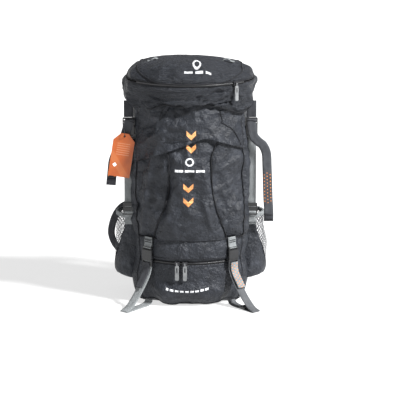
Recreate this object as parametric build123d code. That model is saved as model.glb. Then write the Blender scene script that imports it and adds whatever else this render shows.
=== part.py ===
from build123d import *
import math
import os

# Hiking backpack, about 60 litres. +Z up, the wearer's side faces +Y, the front faces -Y.
# The origin is the middle of the flat base that the bag stands on. Sizes are millimetres.

# ---------------------------------------------------------------- driving dimensions
bag_half_width = 145
back_face = 105            # outer face of the back panel, along Y
shoulder_line = -38        # where the flat sides end and the curved front begins, along Y
lower_front = -120         # front of the lower compartment, along Y
upper_front = -108         # front of the main compartment, along Y
corner_radius = 27         # back corners of the bag
cloth = 3                  # panel thickness, cloth with its lining and seam allowance
base_thickness = 4

zip_level = 122            # lower zip, above the floor
zip_slot = 10              # height of the gap that the zip's tape fills
shelf_level = 180          # cloth divider between the two compartments
divider_thickness = 2
bag_top = 545
collar_rise = 12           # top of the storm collar above the bag's top edge
collar_top = bag_top + collar_rise
collar_lap = 40            # how far the collar reaches down inside the bag
collar_bottom = bag_top - collar_lap

centre_panel_angle = 17.5  # half angle of the centre panel, seen from the front curve's axis
piping_angle = 1.0
piping_stand = 1.5
pocket_depth = 12
pocket_wall = 2.5
pocket_drop = 81           # top of the front pocket below the bag's top edge
pocket_top = bag_top - pocket_drop
flap_thickness = 2
flap_margin = 5            # degrees by which the storm flap stops short of the flat sides
flap_drop = 1              # top of the storm flap below the divider's level

lid_overhang = 25          # how far the lid reaches beyond the bag, each side
lid_half_width = bag_half_width + lid_overhang
lid_front = -132
lid_back = 100
lid_hem = bag_top - 10
gusset_height = 67         # from the lid's hem to its zip
lid_seam = lid_hem + gusset_height
crown_height = 38          # from the zip to the top
lid_top_level = lid_seam + crown_height
lid_edge_radius = 28
lid_lining_level = bag_top + 15
lining_thickness = 2
lid_corner_radius = 40
lid_rear_opening = 45      # depth of the notch in the lid's rear wall, below the hinge
hinge_gap = 1

webbing_width = 25
webbing_thickness = 1.8
gap = 0.3                  # running clearance between parts that move past each other
stitch_gap = 0.1           # clearance between a flat strap and the curved cloth behind it

zip_half_angle = 35
zip_tape = 1.5
coil_height = 4
coil_depth = 2.5
slider_half_angle = 2.0
slider_height = 10
slider_face = 2
ear_width = 1.8            # lugs that hold the pull's pin
ear_inset = 1.2
ear_reach = 3.6
ear_root = 0.4
ear_half_height = 2.2
pin_stand = 2              # pin's axis in front of the slider's face
pull_width = 10
pull_length = 46
pull_thickness = 3
pull_corner = 3
pull_slot_width = 3.2
pull_slot_top = 11
pull_slot_bottom = 22      # from the pull's end
pull_neck = 8
pull_shoulder = 6
pin_radius = 1.0
eye_inset = 3.9            # from the pull's edge to its eye's end
ear_line = 2.4             # from the pull's edge to the ears' middle
eye_clearance = 0.2
eye_wall = 0.6
lower_slider_angles = {"left": -11.5, "right": -4.5}
lid_slider_angle = 36
lid_zip_half_angle = 44

strap_angle = 39.5         # front compression straps, either side of the middle
buckle_margin = 7          # buckle's width beyond its webbing
buckle_width = webbing_width + buckle_margin
buckle_height = 24
buckle_depth = 10
buckle_wall = 2
buckle_corner = 3
buckle_slot = 3.6
bar_height = 8
window_height = 9
ladder_height = 20
ladder_depth = 4
ladder_corner = 2
ladder_drop = 1            # top of the male half's plate below the mouth
slot_shares = (0.33, 0.72) # where a ladder plate's slots lie, as shares of its height
slot_margin = 6            # plate's width beyond its slots
prong_length = 19
prong_root = 1.5
prong_width = 5
prong_edge = 2.5
front_buckle_mouth = 128   # mouth of the front female halves, above the floor
front_buckle_stand = 9     # buckle's middle plane in front of the cloth
tab_rise = 21              # foot of the front tab above the buckle's mouth
tab_lap = 3                # how far it runs over the divider's seam
front_strap_floor_reach = 105
front_strap_stand = 6
front_strap_top = front_buckle_mouth - 7
front_strap_bend_level = front_buckle_mouth - 30
front_strap_knee = (0.52, 32)      # share of the reach, and level, where the strap bends outwards
front_strap_floor = 2.2
front_strap_back = 9
front_strap_bends = (22, 22, 3.5, 30)

side_strap_gap = 1         # between the side buckles and the bag
side_strap_x = bag_half_width + buckle_width / 2 + side_strap_gap
side_strap_y = -42
lid_strap_drop = 35
lid_strap_end = lid_hem - lid_strap_drop
lid_strap_setback = 1
mouth_drop = 1.6           # side buckle's plate below the lid strap's cut end

mesh_pocket_radius = 55
pocket_setback = 10        # front of the mesh pocket behind the side straps' line
mesh_pocket_y = side_strap_y + pocket_setback + mesh_pocket_radius
mesh_pocket_bottom = 60
mesh_pocket_top = 222
mesh_wall = 2
binding_height = 12
binding_wall = 3.4

side_ladder_level = mesh_pocket_top + binding_height + 18
side_lock_height = 32
side_webbing_top = lid_strap_end - 38
side_webbing_stand = 0.2
side_webbing_lap = 4
side_tab_drop = 45
side_tab_rise = 6
side_tab_setback = 3
glide_height = 22
glide_reach = 0.6          # share of the strap's reach where the tri-glide lies
glide_level = 3
tail_stand = 1.4           # strap tails in front of the side buckles
tail_bend = 35
#              distance out from the side strap's middle, and level below the lid strap's end
tail_routes = (((0, -10), (4, -45), (36, -75), (42, -130), (46, -282)),
               ((0, -10), (18, -70), (41, -115), (48, -184)))

collar_wall = 2.5
collar_hem_height = 11
collar_hem_depth = 6
collar_corner = 24
cord_radius = 2
button_radius = 4
button_length = 12
button_travel = 3
button_stand = 1
cord_exit = button_radius + cord_radius + 1
cord_drop_y = upper_front + 17.5    # the ends hang inside the collar
cord_bend = 4
cord_end_level = bag_top - 45
lock_size = (26, 12, 18)
lock_corner = 4
lock_level = bag_top - 25

frame_margin = 35          # frame sheet's edge inside the bag's side
frame_width = 2 * (bag_half_width - frame_margin)
frame_thickness = 2
frame_headroom = 2         # below the collar
stay_width = 12
stay_thickness = 3
frame_bottom = 14
stay_inset = 10            # how much shorter the stays are than the sheet, at each end
stay_offset = 60
lumbar_size = (2 * (bag_half_width - 7), 20, 100)
lumbar_level = 140
lumbar_edge = 8
back_pad_width = 70
back_pad_depth = 14
back_pad_edge = 6
back_pad_offset = 65
back_pad_bottom = lumbar_level + lumbar_size[2] / 2 + 20
back_pad_top = bag_top - 65

shoulder_offset = 82
shoulder_width = 64
shoulder_thickness = 14
shoulder_top = bag_top - 45
shoulder_tip = shoulder_top - 238
#                  distance behind the back panel, and level from the strap's root
shoulder_route = ((1, 0), (41, 21), (67, -60), (65, -170), (47, -238))
shoulder_bends = (14, 50, 60)
shoulder_lock_setback = 46
shoulder_lock_height = 26
sternum_drop = 115
sternum_width = 20
sternum_gap = 0.4
sternum_clip = (12, 7, 24)
sternum_clip_x = 10
clip_corner = 2
lower_strap_width = 20
lower_strap_bends = (30, 38, 26)
lower_strap_bows = {"left": 77, "right": 33}   # how far each slack strap bows out beyond the bag
hip_pivot_inset = 5
hip_pivot_x = bag_half_width - hip_pivot_inset
hip_wing_length = hip_pivot_x - 28
hip_wing_root = 80
hip_wing_tip = 48
hip_wing_thickness = 14
hip_wing_corner = 10
belt_width = 38
hip_buckle_size = (22, 9, 46)
hip_buckle_x = 13
hip_buckle_corner = 4
hip_buckle_notch = (12, 20, 20)
haul_route = ((38, 0), (34, 27), (22, 34))      # half of the loop: distance from the middle, and behind the back panel
haul_bend = 10
haul_thickness = 3
haul_bottom = bag_top - 40

lash_tabs = ((-92, 0), (96, -6))
lash_width = 16
#            half of a tab's side view: distance from its middle, and height of the webbing's middle plane
lash_route = ((20, 0.9), (12, 0.9), (7, 6))
lash_bend = 2

tag_width = 57
tag_height = 118
tag_thickness = 1.0
tag_shoulder = 12
tag_head_half = 10
tag_head = 8
tag_x = -(side_strap_x + 10)
tag_y = side_strap_y - 16
tag_hole_level = lid_strap_end - 48
tag_hole_radius = 3
tag_lean = 9               # degrees that the tag hangs out of plumb, its foot away from the bag
tag_loop_radius = 9
tag_loop_cord = 0.8

# ---------------------------------------------------------------- shared geometry


class FrontCurve:
    """A vertical cylinder that forms a rounded front: its radius and its axis's Y."""

    def __init__(self, half_width, shoulder, front):
        rise = shoulder - front
        self.radius = (half_width ** 2 + rise ** 2) / (2 * rise)
        self.axis_y = front + self.radius
        self.half_width = half_width
        self.half_angle = math.degrees(math.asin(half_width / self.radius))

    def point(self, radius, angle):
        """Point at an angle in degrees from straight ahead, positive towards +X."""
        turn = math.radians(angle)
        return (radius * math.sin(turn), self.axis_y - radius * math.cos(turn))

    def shoulder_at(self, half_width, radius):
        return self.axis_y - math.sqrt(radius ** 2 - half_width ** 2)

    def place(self, angle, radius, level):
        """Location on the curve, with local -Y facing outwards."""
        return Pos(0, self.axis_y, 0) * Rot(0, 0, angle) * Pos(0, -radius, level)


lower = FrontCurve(bag_half_width, shoulder_line, lower_front)
upper = FrontCurve(bag_half_width, shoulder_line, upper_front)
lid = FrontCurve(lid_half_width, shoulder_line, lid_front)


def outline(curve, inset, back, back_radius, soft_corner=0):
    """Plan of the bag: flat back, round back corners, flat sides and a curved front, inset all round."""
    half = curve.half_width - inset
    radius = curve.radius - inset
    rear = back - inset
    corner = back_radius - inset
    shoulder = curve.shoulder_at(half, radius)
    diagonal = corner * (1 - math.sqrt(0.5))
    edges = [
        Line((-half + corner, rear), (half - corner, rear)),
        ThreePointArc((half - corner, rear), (half - diagonal, rear - diagonal), (half, rear - corner)),
        Line((half, rear - corner), (half, shoulder)),
        ThreePointArc((half, shoulder), (0, curve.axis_y - radius), (-half, shoulder)),
        Line((-half, shoulder), (-half, rear - corner)),
        ThreePointArc((-half, rear - corner), (-half + diagonal, rear - diagonal), (-half + corner, rear)),
    ]
    plan = make_face(edges)
    if soft_corner:
        sharp = [v for v in plan.vertices() if abs(v.Y - shoulder) < 0.01]
        plan = fillet(sharp, soft_corner)
    return plan


def upright(plan, bottom, top):
    """A flat plan raised from one level to another."""
    return Pos(0, 0, bottom) * extrude(plan, amount=top - bottom)


def sector(curve, inner, outer, start, end, bottom, top):
    """Part of an upright tube wall, between two angles in degrees from straight ahead."""
    middle = (start + end) / 2
    edges = [
        ThreePointArc(curve.point(outer, start), curve.point(outer, middle), curve.point(outer, end)),
        Line(curve.point(outer, end), curve.point(inner, end)),
        ThreePointArc(curve.point(inner, end), curve.point(inner, middle), curve.point(inner, start)),
        Line(curve.point(inner, start), curve.point(outer, start)),
    ]
    return upright(make_face(edges), bottom, top)


def block(low, high):
    """A box between two corners."""
    size = [b - a for a, b in zip(low, high)]
    middle = [(a + b) / 2 for a, b in zip(low, high)]
    return Pos(*middle) * Box(*size)


def mirrored(shape):
    return mirror(shape, about=Plane.YZ)


def both_sides(shape):
    """The shape and its mirror image, as one group of separate solids."""
    return Compound(children=[shape, mirrored(shape)])


def group(*shapes):
    return Compound(children=list(shapes))


def save(name, shape):
    export_step(shape, os.path.join("parts", name + ".step"))


# ---------------------------------------------------------------- the bag's panels


def front_wall(curve, bottom, top):
    """The whole curved front wall of one compartment, back to the shoulder line."""
    wall = upright(outline(curve, 0, back_face, corner_radius), bottom, top)
    wall -= upright(outline(curve, cloth, back_face, corner_radius), bottom, top)
    return wall & block((-2 * bag_half_width, curve.axis_y - 2 * curve.radius, bottom),
                        (2 * bag_half_width, shoulder_line, top))


def base_panel():
    return upright(outline(lower, 0, back_face, corner_radius), 0, base_thickness)


def side_panel():
    plan = outline(upper, 0, back_face, corner_radius) - outline(upper, cloth, back_face, corner_radius)
    plan -= outline(lower, cloth, back_face, corner_radius)
    wall = upright(plan, base_thickness, bag_top)
    return wall & block((bag_half_width - corner_radius, shoulder_line, base_thickness),
                        (2 * bag_half_width, 2 * back_face, bag_top))


def back_panel():
    half = bag_half_width - corner_radius
    return block((-half, back_face - cloth, base_thickness), (half, back_face, bag_top))


def compartment_divider():
    """Cloth floor of the main compartment, notched at the back for the frame sheet and stays."""
    top = shelf_level + divider_thickness
    floor = upright(outline(lower, cloth, back_face, corner_radius), shelf_level, top)
    half = frame_width / 2 + gap
    notch = block((-half, frame_front()[1] - gap, shelf_level), (half, back_face, top))
    return floor - notch


def lower_front_panel():
    return front_wall(lower, base_thickness, zip_level - zip_slot / 2)


def lower_hood():
    """Front wall above the zip, with the slot's ends beyond the zip closed by cloth."""
    low = zip_level - zip_slot / 2
    wall = front_wall(lower, low, shelf_level + divider_thickness)
    slot = sector(lower, lower.radius - 2 * cloth, lower.radius + cloth,
                  -zip_half_angle, zip_half_angle, low, low + zip_slot)
    return wall - slot


def front_panel():
    a = centre_panel_angle
    return sector(upper, upper.radius - cloth, upper.radius, -a, a, shelf_level + divider_thickness, bag_top)


def front_side_panel():
    a = centre_panel_angle + piping_angle
    bottom = shelf_level + divider_thickness
    wall = front_wall(upper, bottom, bag_top)
    wall -= sector(upper, upper.radius - 2 * cloth, upper.radius + cloth, -a, a, bottom, bag_top)
    return wall & block((0, -2 * back_face, bottom), (2 * bag_half_width, shoulder_line, bag_top))


def seam_piping():
    a = centre_panel_angle
    cord = sector(upper, upper.radius - cloth, upper.radius + piping_stand, a, a + piping_angle,
                  shelf_level + divider_thickness, bag_top)
    return both_sides(cord)


def front_pocket():
    """Drop pocket on the centre panel: outer wall, two gussets and a bottom, open at its top edge."""
    a = centre_panel_angle
    bottom = shelf_level + divider_thickness
    outer = upper.radius + pocket_depth
    wall_angle = math.degrees(pocket_wall / outer)
    body = sector(upper, upper.radius, outer, -a, a, bottom, pocket_top)
    hollow = sector(upper, upper.radius - cloth, outer - pocket_wall, wall_angle - a, a - wall_angle,
                    bottom + pocket_wall, pocket_top)
    return body - hollow


def storm_flap():
    end = lower.half_angle - flap_margin
    return sector(lower, lower.radius, lower.radius + flap_thickness, -end, end,
                  zip_level + zip_slot, shelf_level - flap_drop)


# ---------------------------------------------------------------- zips


def zip_line(curve, half_angle, level):
    """Zip tape in the middle of the cloth, with the closed coil proud of its outer face."""
    face = curve.radius - (cloth - zip_tape) / 2
    tape = sector(curve, face - zip_tape, face, -half_angle, half_angle, level - zip_slot / 2, level + zip_slot / 2)
    coil = sector(curve, face, face + coil_depth, -half_angle, half_angle,
                  level - coil_height / 2, level + coil_height / 2)
    return group(tape, coil)


def zip_slider(curve, angle, level):
    """C-shaped slider round the coil, with a bail that holds the pull's pin."""
    coil_face = curve.radius - (cloth - zip_tape) / 2 + coil_depth
    start = angle - slider_half_angle
    end = angle + slider_half_angle
    low = level - slider_height / 2
    high = level + slider_height / 2
    body = sector(curve, curve.radius + gap, coil_face + gap + slider_face, start, end, low, high)
    channel = coil_height / 2 + gap
    body -= sector(curve, curve.radius - cloth, coil_face + gap, start - 1, end + 1, level - channel, level + channel)
    lug_radius = coil_face + gap + slider_face
    lug_inner = pull_width / 2 - ear_line
    lug = block((lug_inner - ear_inset, -ear_reach, -ear_half_height),
                (lug_inner - ear_inset + ear_width, ear_root, ear_half_height))
    ears = group(lug, mirrored(lug))
    pin = Rot(0, 90, 0) * Cylinder(pin_radius, 2 * lug_inner)
    place = curve.place(angle, lug_radius, level)
    body += place * ears
    body += place * Pos(0, -pin_stand, 0) * pin
    return body


def pull_axis_radius(curve):
    return curve.radius - (cloth - zip_tape) / 2 + coil_depth + gap + slider_face + pin_stand


def zip_pull(curve, angle, level):
    """Cord loop with a moulded grip, hung by an eye on the slider's pin."""
    eye_half = pull_width / 2 - eye_inset
    eye = Rot(0, 90, 0) * Cylinder(pin_radius + eye_clearance + eye_wall, 2 * eye_half)
    neck = block((-eye_half, -pull_thickness / 2, -pull_neck), (eye_half, pull_thickness / 2, 0))
    grip = block((-pull_width / 2, -pull_thickness / 2, -pull_length),
                 (pull_width / 2, pull_thickness / 2, -pull_shoulder))
    grip = fillet(grip.edges().filter_by(Axis.Y), pull_corner)
    grip -= block((-pull_slot_width / 2, -pull_thickness, -pull_length + pull_slot_bottom),
                  (pull_slot_width / 2, pull_thickness, -pull_slot_top))
    body = eye + neck + grip
    body -= Rot(0, 90, 0) * Cylinder(pin_radius + eye_clearance, 4 * eye_half)
    return curve.place(angle, pull_axis_radius(curve), level) * body


# ---------------------------------------------------------------- collar, drawcord and cord lock


def collar_outline(inset):
    return outline(upper, inset, back_face, corner_radius, soft_corner=collar_corner)


def cord_centre():
    """Inset of the drawcord's line, and its level, inside the collar's hem."""
    return cloth / 3 + collar_hem_depth / 2, collar_top - collar_hem_height / 2


def cord_path(radius_gap):
    """Tube round the collar's hem, open at the front between the two exits."""
    inset, level = cord_centre()
    wire = Pos(0, 0, level) * collar_outline(inset).face().outer_wire()
    start = wire @ 0
    profile = Plane(origin=start, z_dir=wire % 0) * Circle(cord_radius + radius_gap)
    ring = sweep(profile, path=wire)
    front = upper_front + inset
    reach = 4 * cord_radius
    opening = block((-cord_exit, front - reach, level - reach), (cord_exit, front + reach, level + reach))
    return ring - opening


def cord_ends(radius_gap, low):
    """The right end: in through the hem's inner face, then straight down through the lock."""
    inset, level = cord_centre()
    front = upper_front + inset
    path = FilletPolyline((cord_exit, front, level), (cord_exit, cord_drop_y, level),
                          (cord_exit, cord_drop_y, low), radius=cord_bend)
    profile = Plane(origin=path @ 0, z_dir=path % 0) * Circle(cord_radius + radius_gap)
    return sweep(profile, path=path)


def storm_collar():
    sleeve_outset = cloth + gap
    sleeve = upright(collar_outline(sleeve_outset), collar_bottom, collar_top - collar_hem_height)
    sleeve -= upright(collar_outline(sleeve_outset + collar_wall), collar_bottom, collar_top - collar_hem_height)
    hem_inset = cloth / 3
    hem = upright(collar_outline(hem_inset), collar_top - collar_hem_height, collar_top)
    hem -= upright(collar_outline(hem_inset + collar_hem_depth), collar_top - collar_hem_height, collar_top)
    hem -= cord_path(gap)
    inset, level = cord_centre()
    front = upper_front + inset
    reach = cord_radius + gap
    joint = block((cord_exit - reach, front - reach, level - reach),
                  (cord_exit + reach, front + 4 * cord_radius, level + reach))
    hem -= joint
    hem -= mirrored(joint)
    return sleeve + hem


def drawcord():
    inset, level = cord_centre()
    bend = Pos(cord_exit, upper_front + inset, level) * Sphere(cord_radius)
    end = cord_ends(0, cord_end_level)
    return cord_path(0) + end + bend + mirrored(end) + mirrored(bend)


def cord_lock_body():
    width, depth, height = lock_size
    body = Pos(0, cord_drop_y, lock_level) * fillet(Box(width, depth, height).edges().filter_by(Axis.Z), lock_corner)
    channel = Pos(cord_exit, cord_drop_y, lock_level) * Cylinder(cord_radius + gap, 2 * height)
    bore_depth = button_length + button_travel
    bore = Pos(0, cord_drop_y, lock_level - height / 2 + bore_depth / 2) * Cylinder(button_radius + gap, bore_depth)
    return body - channel - mirrored(channel) - bore


def cord_lock_button():
    """Plunger below the housing, which travels up into it against a spring."""
    low = lock_level - lock_size[2] / 2 - button_travel - button_stand
    return Pos(0, cord_drop_y, low + button_length / 2) * Cylinder(button_radius, button_length)


# ---------------------------------------------------------------- buckles and straps


def buckle_female():
    """Mouth at local Z 0 facing down, ladder bar above, outward face towards local -Y."""
    body = Pos(0, 0, buckle_height / 2) * Box(buckle_width, buckle_depth, buckle_height)
    body = fillet(body.edges().filter_by(Axis.Z), buckle_corner)
    inner_width = buckle_width - 2 * buckle_wall
    cavity_height = buckle_height - buckle_wall
    body -= Pos(0, 0, cavity_height / 2) * Box(inner_width, buckle_depth - 2 * buckle_wall, cavity_height)
    window = Pos(0, 0, buckle_height / 2) * Box(2 * buckle_width, buckle_depth - 2.5 * buckle_wall, window_height)
    body -= window
    middle = buckle_height + bar_height / 2
    bar = Pos(0, 0, middle) * Box(buckle_width - buckle_wall, ladder_depth, bar_height)
    bar -= Pos(0, 0, middle - buckle_wall / 4) * Box(inner_width - buckle_wall, 2 * ladder_depth, buckle_slot)
    return body + bar


def ladder_plate(height):
    """Plate with two cross slots that a strap threads through."""
    plate = Pos(0, 0, -height / 2) * Box(buckle_width, ladder_depth, height)
    plate = fillet(plate.edges().filter_by(Axis.Y), ladder_corner)
    slot_width = buckle_width - slot_margin
    for share in slot_shares:
        plate -= Pos(0, 0, -height * share) * Box(slot_width, 2 * ladder_depth, buckle_slot)
    return plate


def buckle_male():
    """Three prongs above local Z 0, and the ladder plate below."""
    plate = Pos(0, 0, -ladder_drop) * ladder_plate(ladder_height)
    prong_depth = buckle_depth - 2 * buckle_wall - 2 * gap
    side_centre = (buckle_width - 2 * buckle_wall) / 2 - gap - prong_edge
    prongs = [Pos(x, 0, prong_length / 2 - prong_root) * Box(prong_width, prong_depth, prong_length + ladder_drop)
              for x in (-side_centre, 0, side_centre)]
    for prong in prongs:
        plate += prong
    return plate


def front_place(side):
    return lower.place(side * strap_angle, lower.radius + front_buckle_stand, front_buckle_mouth)


def side_place(flip):
    """Where the lid buckles' mouth is; the chain hangs with its mouth upwards."""
    turn = Rot(0, 180, 0) if flip else Rot(0, 0, 0)
    return Pos(side_strap_x, side_strap_y, lid_strap_end - ladder_height - mouth_drop) * turn


def buckle_females():
    lid_half = side_place(True) * buckle_female()
    return group(front_place(-1) * buckle_female(), front_place(1) * buckle_female(), lid_half, mirrored(lid_half))


def lid_buckle_males():
    return both_sides(side_place(True) * buckle_male())


def sewn_tabs():
    """Short webbing tabs stitched to the bag, above the front buckles and below the side ladder locks."""
    level = front_buckle_mouth
    face = front_buckle_stand - flap_thickness - stitch_gap
    front_tab = block((-webbing_width / 2, face - webbing_thickness, tab_rise),
                      (webbing_width / 2, face, shelf_level - level + tab_lap))
    front = side_strap_y + ladder_depth / 2 + side_tab_setback
    side_tab = block((bag_half_width, front, side_ladder_level - side_tab_drop),
                     (side_strap_x + webbing_width / 2, front + webbing_thickness, side_ladder_level + side_tab_rise))
    return group(front_place(-1) * front_tab, front_place(1) * front_tab, side_tab, mirrored(side_tab))


def side_webbing():
    """Compression webbing between the ladder locks and the lid buckles, starting clear above the sewn tabs."""
    y = side_strap_y + buckle_depth / 2 + side_webbing_stand
    strap = block((side_strap_x - webbing_width / 2, y, side_ladder_level - side_webbing_lap),
                  (side_strap_x + webbing_width / 2, y + webbing_thickness, side_webbing_top))
    tab_side = block((side_strap_x - webbing_width, y - webbing_thickness, 0),
                     (side_strap_x + webbing_width, y + 2 * webbing_thickness, side_ladder_level + side_tab_rise + 2))
    return both_sides(strap - tab_side)


def strap_adjusters():
    """Side ladder locks, and the tri-glide lying on the right front strap."""
    lock = Pos(side_strap_x, side_strap_y, side_ladder_level + side_lock_height / 2) * ladder_plate(side_lock_height)
    glide = lower.place(strap_angle, lower.radius + front_strap_floor_reach * glide_reach, glide_level + ladder_depth)
    glide = glide * Rot(90, 0, 0) * Pos(0, 0, glide_height / 2) * ladder_plate(glide_height)
    return group(lock, mirrored(lock), glide)


def strap_tails():
    """Loose ends of the lid straps, hanging outside the pockets."""
    plane = Plane(origin=(0, side_strap_y - buckle_depth / 2 - tail_stand, 0), x_dir=(1, 0, 0), z_dir=(0, -1, 0))
    tails = []
    for side, route in zip((1, -1), tail_routes):
        points = [(side * (side_strap_x + out), lid_strap_end + rise) for out, rise in route]
        band = trace(FilletPolyline(*points, radius=tail_bend), line_width=webbing_width)
        tails.append(extrude(plane * band, amount=webbing_thickness, dir=(0, -1, 0)))
    return group(*tails)


def front_webbing():
    """Strap from the buckle's ladder down to the floor, folded there and led back to the base."""
    start = front_strap_stand
    reach = front_strap_floor_reach
    share, knee = front_strap_knee
    points = [(start, front_strap_top), (start, front_strap_bend_level),
              (reach * share, knee), (reach, front_strap_floor), (reach / 2, front_strap_floor),
              (start, front_strap_back)]
    route = FilletPolyline(*[(-out, level) for out, level in points], radius=list(front_strap_bends))
    band = trace(route, line_width=webbing_thickness)
    return extrude(Plane.YZ * band, amount=webbing_width / 2, both=True)


def placed_front_webbing(side):
    return lower.place(side * strap_angle, lower.radius, 0) * front_webbing()


def lid_strap():
    """Short strap under the lid's hem, cut just clear of the buckle so that the lid can open."""
    front = side_strap_y - lid_strap_setback
    return block((side_strap_x - webbing_width / 2, front, lid_strap_end),
                 (side_strap_x + webbing_width / 2, front + webbing_thickness, lid_hem))


# ---------------------------------------------------------------- lid


def lid_outline(inset):
    return outline(lid, inset, lid_back, corner_radius, soft_corner=lid_corner_radius - inset)


def lid_gusset():
    low = lid_seam - zip_slot / 2
    high = lid_seam + zip_slot / 2
    wall = upright(lid_outline(0), lid_hem, high) - upright(lid_outline(cloth), lid_hem, high)
    wall -= sector(lid, lid.radius - 2 * cloth, lid.radius + cloth, -lid_zip_half_angle, lid_zip_half_angle, low, high)
    rear = block((-lid_half_width - cloth, lid_back - lid_rear_opening, lid_hem - cloth),
                 (lid_half_width + cloth, lid_back + cloth, hinge_level()))
    return wall - rear


def lid_lining():
    return upright(lid_outline(cloth), lid_lining_level, lid_lining_level + lining_thickness)


def lid_crown():
    """Domed top panel, hollow below."""
    low = lid_seam + zip_slot / 2
    outer = upright(lid_outline(0), low, lid_top_level)
    outer = fillet(outer.faces().sort_by(Axis.Z)[-1].edges(), lid_edge_radius)
    inner = upright(lid_outline(cloth), low, lid_top_level - cloth)
    inner = fillet(inner.faces().sort_by(Axis.Z)[-1].edges(), lid_edge_radius - cloth)
    return outer - inner


def lid_webbing():
    """Two lash tabs on the crown, each raised in the middle as a loop, and the straps under the hem."""
    points = [(-out, level) for out, level in lash_route] + list(reversed(lash_route))
    band = trace(FilletPolyline(*points, radius=lash_bend), line_width=webbing_thickness)
    tab = extrude(Plane.XZ * band, amount=lash_width / 2, both=True)
    tabs = [Pos(x, y, lid_top_level) * tab for x, y in lash_tabs]
    strap = lid_strap()
    return group(*tabs, strap, mirrored(strap))


def hinge_level():
    return collar_top + hinge_gap


# ---------------------------------------------------------------- pockets, harness and tag


def mesh_ring(inner, outer, bottom, top):
    centre = (bag_half_width, mesh_pocket_y)
    ring = Pos(*centre, (bottom + top) / 2) * (Cylinder(outer, top - bottom) - Cylinder(inner, top - bottom))
    return ring & block((bag_half_width, centre[1] - 2 * outer, bottom), (bag_half_width + 2 * outer,
                                                                       centre[1] + 2 * outer, top))


def mesh_pocket():
    """Half-round sleeve on the side with a closed bottom."""
    wall = mesh_ring(mesh_pocket_radius - mesh_wall, mesh_pocket_radius, mesh_pocket_bottom, mesh_pocket_top)
    centre = (bag_half_width, mesh_pocket_y, mesh_pocket_bottom + mesh_wall / 2)
    floor = Pos(*centre) * Cylinder(mesh_pocket_radius, mesh_wall)
    floor &= block((bag_half_width, mesh_pocket_y - 2 * mesh_pocket_radius, 0),
                   (bag_half_width + 2 * mesh_pocket_radius, mesh_pocket_y + 2 * mesh_pocket_radius, mesh_pocket_top))
    return wall + floor


def pocket_bindings():
    outer = mesh_pocket_radius
    return both_sides(mesh_ring(outer - binding_wall, outer, mesh_pocket_top, mesh_pocket_top + binding_height))


def frame_front():
    """Front faces of the frame sheet and of the stays before it, along Y."""
    sheet = back_face - cloth - stitch_gap - frame_thickness
    return sheet, sheet - stitch_gap - stay_thickness


def frame_sheet():
    front = frame_front()[0]
    return block((-frame_width / 2, front, frame_bottom),
                 (frame_width / 2, front + frame_thickness, collar_bottom - frame_headroom))


def frame_stays():
    front = frame_front()[1]
    bar = block((stay_offset - stay_width / 2, front, frame_bottom + stay_inset),
                (stay_offset + stay_width / 2, front + stay_thickness, collar_bottom - frame_headroom - stay_inset))
    return both_sides(bar)


def back_pads():
    height = back_pad_top - back_pad_bottom
    pad = fillet(Box(back_pad_width, back_pad_depth, height).faces().sort_by(Axis.Y)[-1].edges(), back_pad_edge)
    return both_sides(Pos(back_pad_offset, back_face + back_pad_depth / 2, back_pad_bottom + height / 2) * pad)


def lumbar_pad():
    width, depth, height = lumbar_size
    pad = fillet(Box(width, depth, height).faces().sort_by(Axis.Y)[-1].edges(), lumbar_edge)
    return Pos(0, back_face + depth / 2, lumbar_level) * pad


def shoulder_pad():
    points = [(back_face + out, shoulder_top + rise) for out, rise in shoulder_route]
    band = trace(FilletPolyline(*points, radius=list(shoulder_bends)), line_width=shoulder_thickness)
    pad = extrude(Plane.YZ * band, amount=shoulder_width)
    pad = Pos(shoulder_offset - shoulder_width / 2, 0, 0) * pad
    return pad & block((0, back_face + gap, 0), (bag_half_width, 2 * back_face, 2 * bag_top))


def shoulder_ladder_lock():
    place = Pos(shoulder_offset, back_face + shoulder_lock_setback, shoulder_tip - ladder_drop)
    return place * ladder_plate(shoulder_lock_height)


def sternum_strap():
    """Half of the chest strap on the shoulder pad's outer face, with its buckle half at the middle."""
    level = shoulder_top - sternum_drop
    face = back_face + shoulder_route[2][0] + shoulder_thickness / 2 + sternum_gap
    clip_end = sternum_clip_x + sternum_clip[0] / 2
    strap = block((clip_end, face, level - sternum_width / 2),
                  (shoulder_offset, face + webbing_thickness, level + sternum_width / 2))
    clip = fillet(Box(*sternum_clip).edges().filter_by(Axis.Y), clip_corner)
    return strap + Pos(sternum_clip_x, face + clip_corner, level) * clip


def lower_webbing():
    """Slack straps from the base corners, bowed out beside the bag and back to the ladder locks."""
    straps = []
    lock_bottom = shoulder_tip - 22
    for side, name in ((-1, "left"), (1, "right")):
        bow = bag_half_width + lower_strap_bows[name]
        route = [(bag_half_width - 39, 46), (bag_half_width + 13, 64), (bow, 148), (bow - 26, lock_bottom - 14),
                 (shoulder_offset + 22, lock_bottom)]
        points = [(side * out, level) for out, level in route]
        band = trace(FilletPolyline(*points, radius=list(lower_strap_bends)), line_width=webbing_thickness)
        plane = Plane(origin=(0, back_face + gap, 0), x_dir=(1, 0, 0), z_dir=(0, -1, 0))
        straps.append(extrude(plane * band, amount=lower_strap_width, dir=(0, 1, 0)))
    return group(*straps)


def hip_wing():
    """Padded wing, folded behind the lumbar pad, tapering towards the buckle."""
    face = back_face + lumbar_size[1] + gap
    inner = hip_pivot_x - hip_wing_length
    plan = make_face(Polyline((hip_pivot_x, -hip_wing_root / 2), (hip_pivot_x, hip_wing_root / 2),
                              (inner, hip_wing_tip / 2), (inner, -hip_wing_tip / 2), close=True))
    pad = extrude(plan, amount=hip_wing_thickness)
    pad = fillet(pad.edges().filter_by(Axis.Z), hip_wing_corner)
    pad = Rot(90, 0, 0) * pad
    return Pos(0, face + hip_wing_thickness, lumbar_level) * pad


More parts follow.
